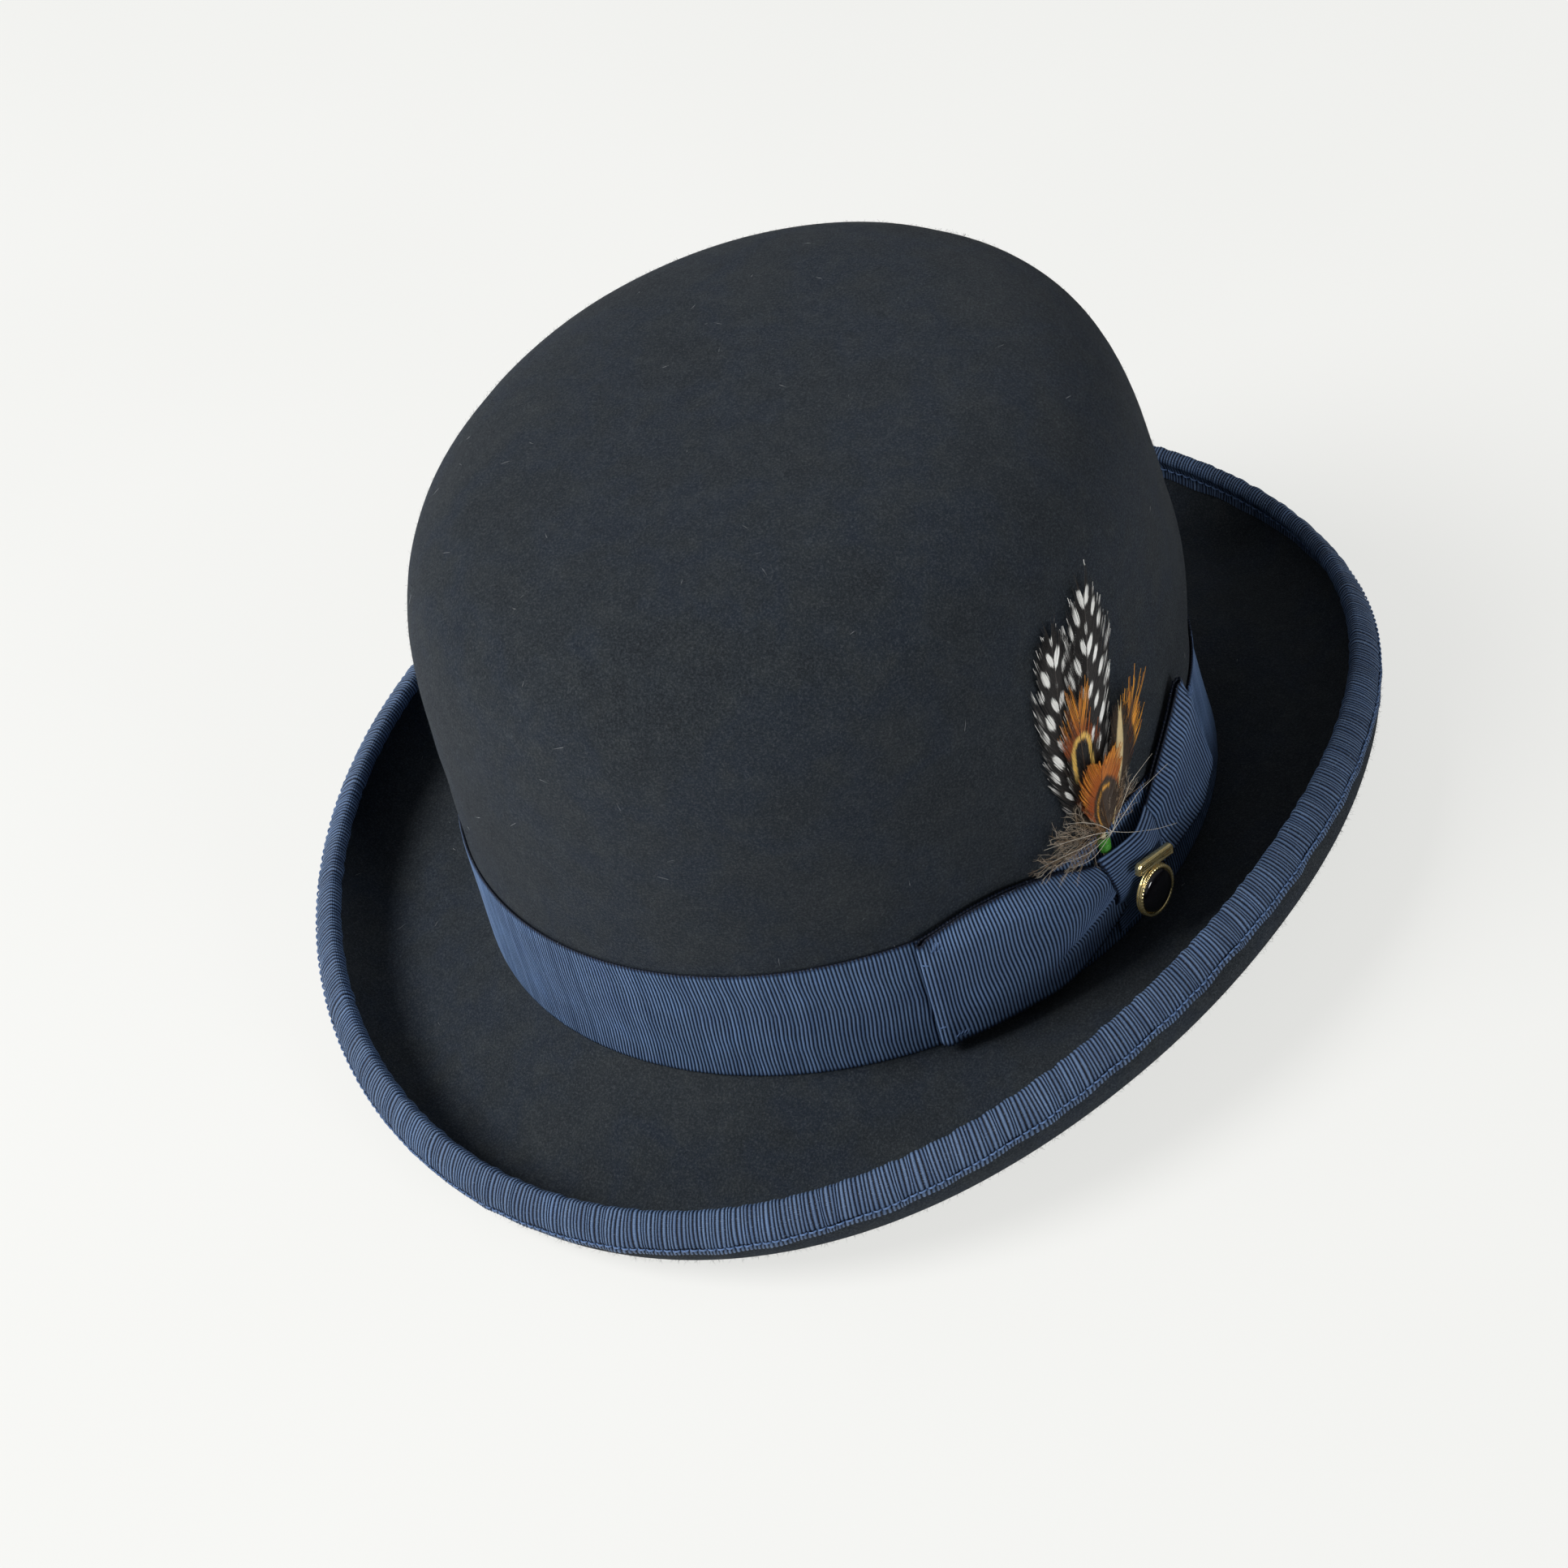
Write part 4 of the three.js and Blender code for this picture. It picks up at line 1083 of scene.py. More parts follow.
def tack_stitches():
    """Hand stitches at the far corners of both loops and at the front loop's fold."""
    g = np.random.default_rng(61)
    q = np.linspace(0, 1, 9)
    paths = []

    def bite(along0, height0, along1, height1, out, lift=0.55):
        along = along0 + (along1 - along0) * q
        height = height0 + (height1 - height0) * q + 0.2 * sin(pi * q)
        paths.append(side(along, height, out - 0.35 + lift * sin(pi * q) ** 0.7))

    def near(height):
        return height + g.uniform(-0.3, 0.3)

    for k in range(4):
        bite(-59.2 + 0.7 * k, near(33.2), -58.4 + 0.7 * k, near(35.6), 4.25)
        bite(-59.4 + 0.8 * k, near(4.6), -57.4 + 0.8 * k, near(6.6), 4.25)
    bite(-61.9, 9, -59.6, 9.6, 3.7, lift=0.7)
    bite(-61.9, 30, -59.6, 29.4, 3.7, lift=0.7)
    for k in range(3):
        bite(31.5 + 0.6 * k, 44.8 - 0.5 * k, 33.0 + 0.6 * k, 46.6 - 0.4 * k, 5.0)
    thread_piece("bow_tack_stitches", paths, [0.14] * len(paths), replacing=False)


front_loop()
rear_loop()
knot()
tack_stitches()

# ------------------------------------------------------------------- badge
# Badge coordinates start where the post meets the felt: across, up and out along
# the post. The badge is turned a little about the post, the clutch is not.
POST_ALONG, POST_HEIGHT, BADGE_BACK = -3.6, 18.6, 8.8
BADGE_TURN = np.radians(-15)
POST_FOOT = side(POST_ALONG, POST_HEIGHT)
POST_AXIS = unit(np.array([*oval_normal(POST_ALONG / HALF_LENGTH), 0.05]))
POST_UP = unit(np.array([0, 0, 1.0]) - POST_AXIS * POST_AXIS[2])
POST_ACROSS = np.cross(POST_UP, POST_AXIS)
BADGE_ACROSS = POST_ACROSS * cos(BADGE_TURN) + POST_UP * sin(BADGE_TURN)
BADGE_UP = -POST_ACROSS * sin(BADGE_TURN) + POST_UP * cos(BADGE_TURN)
OVAL_SIZE = (6.2, 6.7)                                  # half width and half height
OVAL_PLACE = (0, -1.7, BADGE_BACK)


def badge_points(points, across=BADGE_ACROSS, up=BADGE_UP):
    x, y, z = np.moveaxis(np.asarray(points, float)[..., None], -2, 0)
    return POST_FOOT + x * across + y * up + z * POST_AXIS


def turned_piece(part, profile, count, material, size=(1, 1), place=(0, 0, 0), detail=None):
    """A closed oval turning: profile (radius, z) from the axis out and back to it."""
    profile = np.array(profile, float)
    angle = np.arange(count) / count * TAU
    radius, z = profile[1:-1, 0][:, None], profile[1:-1, 1][:, None]
    if detail is not None:
        radius, z = detail(radius, z, angle[None, :])
    rings = np.stack(np.broadcast_arrays(
        radius * cos(angle) * size[0] + place[0], radius * sin(angle) * size[1] + place[1],
        z + place[2]), -1)
    poles = [(place[0], place[1], end + place[2]) for end in profile[[0, -1], 1]]
    capped_piece(part, badge_points(rings), badge_points(poles), material, body="badge")


def arc(x, z, radius, start, end, count):
    """Points of an arc, angles in degrees."""
    angle = np.radians(np.linspace(start, end, count))
    return list(zip(x + radius * cos(angle), z + radius * sin(angle)))


def beaded(radius, z, angle):
    """A row of fine beads round the bezel's upper rim."""
    bead = bell(z, 1.72, 0.16) * bell(radius, 0.93, 0.05) * (0.5 + 0.5 * cos(angle * 44))
    return radius + 0.012 * bead, z + 0.20 * bead


def badge_oval():
    """Gilt bezel and domed enamel; radii are shares of the oval's size."""
    bezel = [
        (0, 0), (0.5, 0), (0.9, 0), *arc(0.93, 0.10, 0.045, -90, 0, 4)[1:],
        (0.985, 0.30), *arc(0.975, 0.42, 0.025, -60, 90, 6),
        (0.965, 0.62), (0.965, 1.05), *arc(0.965, 1.18, 0.03, -60, 60, 5),
        (0.972, 1.42), (0.985, 1.52), (0.985, 1.60), (0.97, 1.70), (0.95, 1.80),
        (0.93, 1.86), (0.905, 1.84), (0.885, 1.76), (0.868, 1.62), (0.862, 1.4),
        (0.86, 0.95), (0.5, 0.9), (0, 0.9)]
    turned_piece("badge_bezel", bezel, 352, "gilt", OVAL_SIZE, OVAL_PLACE, beaded)
    rim, rim_z, rise = 0.79, 1.88, 1.07
    dome = [(0, 1.2), (0.6, 1.2), (0.81, 1.2), (0.835, 1.26), (0.84, 1.4), (0.835, 1.62),
            (0.82, 1.74), (rim, rim_z)]
    dome += [(r, rim_z + rise * (1 - (r / rim) ** 2) ** 0.62)
             for r in np.linspace(0.785, 0.03, 26)]
    dome.append((0, rim_z + rise))
    turned_piece("badge_enamel", dome, 128, "black_enamel", OVAL_SIZE, OVAL_PLACE)


def badge_bar():
    """A plain gilt bar with chamfered upper corners, a rounded edge and a shallow
    sunk field."""
    thick, bevel, bottom = 1.7, 0.55, 5.35
    outline = np.array([(-6.4, 0.0), (6.4, 0.0), (6.4, 2.2), (5.6, 3.0), (-5.6, 3.0),
                        (-6.4, 2.2)])
    fine = []
    for start, end in zip(outline, np.roll(outline, -1, 0)):
        count = max(2, int(np.linalg.norm(end - start) / 0.12))
        fine.append(start + (end - start) * (np.arange(count) / count)[:, None])
    outline = np.concatenate(fine)
    for _ in range(3):                                   # softens the corners
        outline = (0.25 * np.roll(outline, 1, 0) + 0.5 * outline
                   + 0.25 * np.roll(outline, -1, 0))
    tangent = np.roll(outline, -1, 0) - np.roll(outline, 1, 0)
    normal = unit(np.stack([tangent[:, 1], -tangent[:, 0]], -1))
    # (distance in from the outline, z)
    section = [(bevel * 0.5, 0.0), (0.0, bevel * 0.5), (0.0, thick - bevel)]
    section += [(bevel * (1 - cos(a)), thick - bevel + bevel * sin(a))
                for a in np.linspace(0, pi / 2, 5)[1:]]
    section += [(bevel + 0.16, thick), (bevel + 0.24, thick - 0.10), (bevel + 0.55, thick - 0.10)]
    rings = np.stack([np.concatenate([outline - normal * inset, np.full((len(outline), 1), z)], 1)
                      for inset, z in section]) + (0, bottom, BADGE_BACK)
    poles = [rings[0].mean(0), rings[-1].mean(0)]
    capped_piece("badge_bar", badge_points(rings), badge_points(poles), "gilt", body="badge")


def badge_post():
    turned_piece("badge_post", [
        (0, -4.75), (0.12, -4.68), (0.30, -4.3), (0.42, -3.95), (0.55, -3.6), (0.55, -3.0),
        (0.46, -2.9), (0.46, -2.7), (0.55, -2.6), (0.55, 2.0), (0.55, 7.9), (0.62, 8.2),
        (0.8, 8.42), (0.8, 8.5), (0, 8.5)], 32, "steel_pin")


def badge_clutch():
    """A dished flange with a knurled collar, open for the post."""
    profile = [                                          # (radius, z)
        (0.9, -4.3), (1.3, -4.34), (2.0, -4.32), (2.2, -4.24), (2.3, -4.0), (2.36, -3.6),
        (2.5, -3.42), (3.2, -3.36), (3.36, -3.26), (3.42, -3.08), (3.36, -2.92), (3.2, -2.85),
        (2.2, -2.85), (1.2, -2.86), (0.95, -2.9), (0.9, -3.1), (0.88, -3.6), (0.9, -4.1)]
    angle = np.arange(120) / 120 * TAU
    rows = []
    for radius, z in profile:
        knurled = radius + 0.05 * cos(angle * 30) * (2.15 < radius < 2.4)
        rows.append(np.stack([knurled * cos(angle), knurled * sin(angle), 0 * angle + z], -1))
    band_piece("badge_clutch", badge_points(rows, POST_ACROSS, POST_UP), "gilt")


badge_oval()
badge_bar()
badge_post()
badge_clutch()


# ------------------------------------------------------------ feather spray
def blend(first, second, share):
    first, second = np.asarray(first), np.asarray(second)
    return first + (second - first) * np.asarray(share)[..., None]


BLACK, SOOT, WHITE = srgb(15, 13, 15), srgb(40, 35, 33), srgb(255, 255, 252)
RUST, AMBER, BROWN = srgb(180, 88, 24), srgb(255, 190, 66), srgb(42, 29, 17)
CREAM, UMBER, GREY = srgb(222, 205, 160), srgb(92, 70, 46), srgb(128, 114, 98)
YELLOW = srgb(238, 206, 112)


def barb_outline(rise, half):
    """Half width of a feather a share of the way up it."""
    arch = sin(pi * (0.05 + 0.93 * np.clip(rise, 0, 1) ** 0.85))
    return half * np.maximum(0.02, arch) ** 0.62


def feather(part, material, base, tip, bow, half, depth, paint, seed, barbs, segments,
            angle, ragged, wisp, shaft, shaft_radius):
    """A quill with separate barbs down both sides. Base and tip are (along, height);
    up runs along the shaft and over across it, to the back positive."""
    g = np.random.default_rng(seed)
    base, tip = np.array(base, float), np.array(tip, float)
    length = np.linalg.norm(tip - base)
    axis = (tip - base) / length
    across = np.array([axis[1], -axis[0]])

    def place(up, over=0.0):
        """Along and height of a point of the feather."""
        shift = bow * sin(pi * np.minimum(np.clip(up / length, 0, 1.25), 1.1))
        return [base[i] + axis[i] * up + across[0] * (shift if i == 0 else 0)
                + across[1] * (shift if i == 1 else 0) + across[0] * over for i in (0, 1)]

    def shaft_at(up):
        shift = bow * sin(pi * np.minimum(np.clip(up / length, 0, 1.25), 1.1))
        return [base[i] + axis[i] * up + across[i] * shift for i in (0, 1)]

    points, colours = [], []
    q = np.linspace(0, 1, segments)[None, :]
    for sign in (-1, 1):
        root = np.linspace(0, length * 0.985, barbs)
        root = root + g.uniform(-0.3, 0.3, barbs) * (root[1] - root[0]) * 0.5
        rise = root / length
        lean = np.radians(angle + 8 * (1 - 2 * rise))
        # each barb runs until it meets the outline, with ragged, split groups
        group = np.floor(np.cumsum(g.random(barbs) < 0.16)).astype(int)
        split = g.normal(0, 1, group.max() + 2)[group] * 0.5
        extent = 1 + ragged * (g.normal(0, 0.55, barbs) + split)
        longer = np.where(rise > 0.86, 1 + wisp * g.exponential(1.5, barbs), 1.0)
        reach = barb_outline(rise + 0.10, half) * np.clip(extent, 0.45, 1.5)
        size = np.minimum(reach / sin(lean) * longer, reach / sin(lean) + 3.2)
        step = size[:, None] / (segments - 1)
        rise, split = rise[:, None], split[:, None]
        # the barb curves towards the tip
        heading = (lean[:, None] * (1.10 - 0.35 * q * (1 + 0.25 * rise)) + 0.05 * split * q)
        start = np.zeros((barbs, 1))
        over = np.concatenate([start, np.cumsum(sin(heading[:, 1:]) * step, 1)], 1) * sign
        up = root[:, None] + np.concatenate(
            [start, np.cumsum(cos(heading[:, 1:]) * step, 1)], 1)
        lift = ((g.normal(0, 0.05, (barbs, 1)) + 0.04 * split) * q
                + 0.02 * (np.arange(barbs) % 3)[:, None])
        camber = 0.024 * over**2 / half
        along, height = shaft_at(up)
        along, height = along + across[0] * over, height + across[1] * over
        centre = side(along, height, depth + 0.25 - camber + np.clip(lift, -0.25, 0.4))
        normal_x, normal_y = oval_normal(along / HALF_LENGTH)
        normal = np.stack([normal_x, normal_y, 0 * normal_x], -1)
        edge = unit(np.cross(normal, unit(np.gradient(centre, axis=1))))
        pitch = (root[1] - root[0]) * sin(lean)[:, None]
        wide = pitch * 0.62 * np.clip(1 - 0.80 * q**3, 0.12, 1) * np.where(rise > 0.9, 0.75, 1.0)
        wide = np.maximum(wide, 0.035)[..., None]
        section = [centre + edge * wide, centre + normal * (0.06 + 0.4 * wide),
                   centre - edge * wide, centre - normal * 0.05]
        points.append(np.stack(section, 2).reshape(-1, 3))
        jitter = g.normal(0, 0.22, (barbs, 1)) + 0.25 * split
        luck = g.random((barbs, 1)) + 0 * up
        colour = paint(up + jitter, over, up / length, over / half, luck)
        colours.append(np.repeat(colour[:, :, None, :], 4, 2).reshape(-1, 4))
    end = (segments - 1) * 4
    barb = np.concatenate([grid_faces(segments, 4),
                           [[3, 2, 1, 0], [end, end + 1, end + 2, end + 3]]])
    starts = np.arange(2 * barbs) * segments * 4
    quads = (barb[None] + starts[:, None, None]).reshape(-1, 4)
    # the shaft itself, tapering to nothing
    up = np.linspace(-1.5, length * 0.99, 60)
    radius = shaft_radius * np.interp(up / length, [0, 0.3, 0.8, 1.0], [1, 0.8, 0.4, 0.2])
    shaft_points, faces = sweep([side(*shaft_at(up), depth + 0.30)], [radius], sides=8)
    base_index = 2 * barbs * segments * 4
    piece(part, np.concatenate([*points, shaft_points]),
          [np.concatenate([quads, faces[0] + base_index]), faces[1] + base_index], material,
          body="feather_spray",
          col=np.concatenate([*colours, np.tile(shaft, (len(shaft_points), 1))]))


# Paints take: up and over in mm, rise (share of the length), spread (share of the half
# width, signed) and luck (a random share for each barb).
def spot_field(up, over, row, column, offset, half_up, half_over):
    """1 inside a staggered field of oval spots; rows lean with the barbs."""
    lean = up - np.abs(over) * 1.15
    i = np.floor(lean / row)
    from_row = (lean / row - i - 0.5) * row
    shifted = np.abs(over) + offset + (i % 2) * column / 2
    j = np.floor(shifted / column)
    from_column = (shifted / column - j - 0.5) * column
    chance = sin(i * 12.9898 + j * 78.233 + np.sign(over) * 3.1) * 43758.5453
    chance = chance - np.floor(chance)
    size = 0.78 + 0.4 * chance
    from_row = from_row + (chance - 0.5) * 0.9
    radius = np.sqrt((from_row / (half_up * size)) ** 2 + (from_column / (half_over * size)) ** 2)
    return 1 - smooth(radius, 0.88, 1.12)


def spotted(shift):
    """White spots on black, drawn out into brushed dashes towards the edge."""
    def paint(up, over, rise, spread, luck):
        ground = blend(BLACK, SOOT, 0.15 + 0.4 * luck)
        freckle = sin(up * 5.1 + over * 2.3 + shift) * sin(over * 6.3 - up * 1.7)
        ground = blend(ground, srgb(96, 88, 84), 0.30 * smooth(freckle, 0.72, 0.95))
        spot = spot_field(up + shift, over, row=5.7, column=4.2, offset=1.0,
                          half_up=1.75, half_over=1.20)
        edge = smooth(np.abs(spread) + 0.3 * smooth(rise, 0.85, 1.0), 0.58, 0.85)
        dash = spot_field(up + shift + 1.5 + (luck - 0.5) * 1.8, over, row=4.4, column=4.4,
                          offset=0.2, half_up=1.7, half_over=1.8) * (luck > 0.42)
        spot = np.maximum(spot * (1 - edge), dash * edge) * smooth(rise, 0.12, 0.22)
        colour = blend(ground, WHITE, spot * (0.88 + 0.12 * luck))
        return blend(colour, GREY, 0.6 * (1 - smooth(rise, 0.02, 0.16)))
    return paint


def paint_arched(up, over, rise, spread, luck):
    """Rust tips, then a yellow arch round a black centre, then brown-black."""
    colour = blend(BROWN, RUST,
                   smooth(rise, 0.60, 0.70) * (0.45 + 0.55 * smooth(luck, 0.25, 0.5)))
    colour = blend(colour, AMBER, smooth(rise, 0.74, 0.95) * smooth(luck, 0.3, 0.8) * 0.85)
    colour = blend(colour, BROWN, smooth(rise, 0.72, 0.82) * (luck < 0.28))
    apex, arch, half = 27.0, 4.2, 3.3
    above = np.where(up > apex - arch, (up - (apex - arch)) / arch, 0.0)
    radius = np.sqrt((over / half) ** 2 + above**2)
    legs = smooth(up, apex - 13, apex - 9)
    line = smooth(radius, 0.62, 0.70) * (1 - smooth(radius, 0.98, 1.08))
    colour = blend(colour, YELLOW, line * legs)
    colour = blend(colour, BLACK, (1 - smooth(radius, 0.58, 0.66)) * legs)
    colour = blend(colour, RUST,
                   0.75 * (1 - smooth(rise, 0.20, 0.34)) * smooth(np.abs(spread), 0.3, 0.6))
    return blend(colour, GREY, 0.8 * (1 - smooth(rise, 0.0, 0.14)))


def paint_rimmed(up, over, rise, spread, luck):
    """Dark brown body with an amber rim and long amber wisps at the tip."""
    rim = smooth(np.abs(spread) + 0.65 * smooth(rise, 0.66, 0.86), 0.70, 0.90)
    colour = blend(BROWN, AMBER, rim * smooth(rise, 0.55, 0.70) * (0.70 + 0.30 * luck))
    colour = blend(colour, RUST, 0.6 * smooth(luck, 0.7, 0.9) * smooth(rise, 0.45, 0.6))
    colour = blend(colour, BROWN, smooth(rise, 0.7, 0.8) * (luck < 0.22))
    return blend(colour, GREY, 0.8 * (1 - smooth(rise, 0.0, 0.18)))


def paint_stripe(up, over, rise, spread, luck):
    """Dark brown with a cream stripe down the middle."""
    colour = blend(BROWN, UMBER, 0.35 * luck + 0.25 * (1 - rise))
    half = 0.75 * sin(pi * np.clip((rise - 0.25) / 0.75, 0, 1))
    stripe = 1 - smooth(np.abs(over), 0.35 + half, 0.75 + half)
    colour = blend(colour, CREAM, stripe * smooth(rise, 0.22, 0.34))
    return blend(colour, UMBER, 0.8 * (1 - smooth(rise, 0.05, 0.28)))


def paint_fan(up, over, rise, spread, luck):
    """Rust fan over a dark oval, with a thin amber line inside the oval's rim."""
    colour = blend(RUST, AMBER, 0.35 * luck * smooth(rise, 0.5, 0.9))
    radius = np.sqrt(((up - 4.4) / 9.4) ** 2 + ((over - 1.6) / 4.8) ** 2)
    colour = blend(colour, srgb(60, 42, 25), 1 - smooth(radius, 0.94, 1.02))
    colour = blend(colour, AMBER, 0.9 * bell(radius, 0.74, 0.04) * (over < 2.6))
    colour = blend(colour, AMBER, 0.55 * smooth(radius, 1.30, 1.55) * smooth(luck, 0.3, 0.7))
    return blend(colour, UMBER, 0.9 * (1 - smooth(rise, 0.0, 0.18)))


feather("guinea_feather_back", "spotted_feather", base=(-10.2, 40), tip=(-7.6, 94.5), bow=-3.2,
        half=8.4, depth=1.5, paint=spotted(0.0), seed=71, barbs=150, segments=26, angle=26,
        ragged=0.14, wisp=0.18, shaft=srgb(60, 54, 52), shaft_radius=0.34)
feather("guinea_feather_front", "spotted_feather", base=(-9.4, 40), tip=(5.4, 97.0), bow=-2.5,
        half=9.2, depth=2.3, paint=spotted(2.4), seed=72, barbs=160, segments=26, angle=26,
        ragged=0.10, wisp=0.20, shaft=srgb(60, 54, 52), shaft_radius=0.34)
feather("pheasant_feather_left", "rust_feather", base=(-9.6, 41), tip=(-6.8, 76.5), bow=-1.6,
        half=5.8, depth=3.1, paint=paint_arched, seed=73, barbs=96, segments=20, angle=22,
        ragged=0.22, wisp=0.30, shaft=srgb(70, 48, 30), shaft_radius=0.25)
feather("pheasant_feather_right", "rust_feather", base=(-6.5, 41), tip=(9.9, 64.0), bow=-0.8,
        half=4.9, depth=3.9, paint=paint_rimmed, seed=74, barbs=84, segments=20, angle=20,
        ragged=0.28, wisp=0.4, shaft=srgb(70, 48, 30), shaft_radius=0.25)
feather("striped_feather", "striped_feather", base=(-6.6, 41), tip=(3.4, 66), bow=0.6,
        half=3.8, depth=4.7, paint=paint_stripe, seed=75, barbs=76, segments=18, angle=20,
        ragged=0.16, wisp=0.15, shaft=CREAM, shaft_radius=0.26)
feather("pheasant_feather_center", "rust_feather", base=(-9.4, 41), tip=(-6.8, 58), bow=-1.0,
        half=7.0, depth=5.5, paint=paint_fan, seed=76, barbs=110, segments=20, angle=36,
        ragged=0.10, wisp=0.05, shaft=srgb(80, 56, 34), shaft_radius=0.24)


def down_tuft():
    """Loose down: soft plumes whose barbs curl, each with fine barbules."""
    g = np.random.default_rng(81)
    paths, radii, colours = [], [], []
    root_along, root_height = -8.8, 38.0
    q = np.linspace(0, 1, 11)
    last = len(q) - 1

    def add(path, radius, colour):
        paths.append(path)
        radii.append(radius)
        colours.append(np.broadcast_to(colour, (len(path), 4)))

    def strand(along, height, out, angle, length, curl, end_out, radius, tone, tip, barbules):
        """A curling barb; barbules is their number per millimetre."""
        heading = (angle + curl * q**1.3
                   + 0.22 * sin(q * g.uniform(3, 8) + g.uniform(0, 6)) * q)
        step = length / last
        along = along + np.concatenate([[0], np.cumsum(sin(heading[1:]) * step)])
        height = height + np.concatenate([[0], np.cumsum(cos(heading[1:]) * step)])
        out = out + (end_out - out) * q**0.8 + 0.35 * sin(q * 5 + g.uniform(0, 6)) * q
        out = np.maximum(1.3, out)
        add(side(along, height, out), radius * np.interp(q, [0, 0.6, 1], [1, 0.75, 0.3]),
            blend(tone, tip, q**1.5))
        for _ in range(int(length * barbules)):
            place = g.uniform(0.1, 0.98) * last
            n = int(min(place, last - 1))
            f = place - n
            a, h, d = (v[n] * (1 - f) + v[n + 1] * f for v in (along, height, out))
            turn = heading[n] + g.choice([-1, 1]) * np.radians(g.uniform(22, 50))
            size = g.uniform(0.8, 2.0)
            p = np.linspace(0, 1, 4)
            path = side(a + sin(turn + 0.4 * p) * size * p, h + cos(turn + 0.4 * p) * size * p,
                        np.maximum(1.1, d + g.uniform(-0.6, 0.6) * p))
            add(path, np.array([0.034, 0.032, 0.026, 0.016]),
                blend(tone, tip, 0.35 + 0.3 * g.random()))

    def brown():
        return blend(srgb(78, 50, 24), srgb(190, 140, 82), g.random() ** 1.3)

    def mist():
        return blend(srgb(84, 62, 40), srgb(168, 140, 106), g.random() ** 1.4)

    def pale():
        return blend(srgb(150, 126, 96), srgb(255, 250, 236), g.random() ** 1.1)

    for _ in range(90):                                  # brown barbs closing round the quills
        degrees = g.normal(0, 26)
        strand(along=root_along + g.normal(0, 0.6), height=root_height + g.uniform(-0.3, 2.4),
               out=3.6, angle=np.radians(degrees), length=g.uniform(5, 12),
               curl=-0.35 * np.sign(degrees) * g.random(), end_out=g.uniform(3.0, 7.0),
               radius=0.10, tone=brown(), tip=blend(brown(), pale(), 0.4), barbules=0.7)
    for _ in range(46):                                  # a soft brush behind the quills
        strand(along=root_along + 1.6 + g.uniform(0, 3.4), height=root_height + g.uniform(2, 13),
               out=4.2, angle=np.radians(g.normal(24, 10)), length=g.uniform(5, 9),
               curl=-0.3 * g.random(), end_out=g.uniform(3.4, 6.0),
               radius=0.09, tone=brown(), tip=blend(brown(), pale(), 0.5), barbules=0.6)
    # whole plumes, a fine rachis with barbs off both sides:
    # angle from upright in degrees, length, bend, barbs, distance out at the tip
    plumes = [(-84, 20, 0.30, 44, 5.6), (-68, 17, 0.35, 34, 5.0), (-104, 13, 0.6, 22, 6.4),
              (-48, 12, 0.2, 24, 4.2), (58, 12, -0.35, 22, 6.0), (34, 13, -0.2, 22, 5.4)]
    for degrees, length, bend, count, tip_out in plumes:
        s = np.linspace(0, 1, 40)
        heading = np.radians(degrees) + bend * s**1.4
        along = root_along + np.cumsum(sin(heading)) * length / 40
        height = root_height + 0.8 + np.cumsum(cos(heading)) * length / 40
        out = 3.6 + (tip_out - 3.6) * s
        add(side(along, height, out), np.interp(s, [0, 1], [0.13, 0.05]), mist())
        for i in range(count):
            at = 0.06 + 0.94 * (i + g.uniform(-0.4, 0.4)) / count
            k = int(np.clip(at, 0, 1) * 39)
            sign = 1 if i % 2 else -1
            fullness = 3.2 + 4.6 * sin(pi * min(1, 0.25 + 0.75 * at)) ** 0.7
            barb = fullness * g.uniform(0.6, 1.3)
            strand(along=along[k], height=height[k], out=out[k],
                   angle=heading[k] + sign * np.radians(g.uniform(16, 48)), length=barb,
                   curl=-sign * g.uniform(-0.6, 1.0),
                   end_out=np.clip(out[k] + g.uniform(-1.4, 1.4), 1.5, 8),
                   radius=0.075, tone=mist(), tip=pale(), barbules=0.75)
    # fine pale filaments breaking out of the outline: end along, end height, bow
    filaments = [(-29.4, 43.4, 0.5), (-27.3, 47.4, 0.8), (-24.0, 40.6, -0.4), (10.3, 44.7, 0.5),
                 (6.0, 52.0, 0.9), (8.6, 27.0, -0.6), (-20.5, 50.5, 0.9), (-22.0, 37.6, -0.8)]
    p = np.linspace(0, 1, 18)
    for end_along, end_height, bow in filaments:
        start = root_height + 1
        along = root_along + (end_along - root_along) * p + 0.6 * bow * sin(pi * p)
        height = start + (end_height - start) * p + 1.8 * bow * sin(pi * p)
        out = np.interp(p, [0, 0.5, 1], [6.0, 6.4, 5.2 if end_along < 0 else 9.0])
        add(side(along, height, out), np.interp(p, [0, 1], [0.08, 0.035]), srgb(236, 230, 218))
    colours = [part for c in colours for part in (np.repeat(c, 3, 0), c[[0, -1]])]
    thread_piece("down_tuft", paths, radii, "down", sides=3, body="feather_spray",
                 col=np.concatenate(colours))


down_tuft()

STEM_FOOT, STEM_TOP = side(-10.4, 13, 2.3), side(-8.6, 37, 2.3)
STEM_LENGTH = np.linalg.norm(STEM_TOP - STEM_FOOT)
STEM_AXIS = (STEM_TOP - STEM_FOOT) / STEM_LENGTH
STEM_ACROSS = unit(np.cross(STEM_AXIS, [0, 1.0, 0]))
STEM_OTHER = np.cross(STEM_AXIS, STEM_ACROSS)


def round_stem(distance, radius, angle):
    return (STEM_FOOT + STEM_AXIS * distance[:, None]
            + STEM_ACROSS * (radius * cos(angle))[:, None]
            + STEM_OTHER * (radius * sin(angle))[:, None])


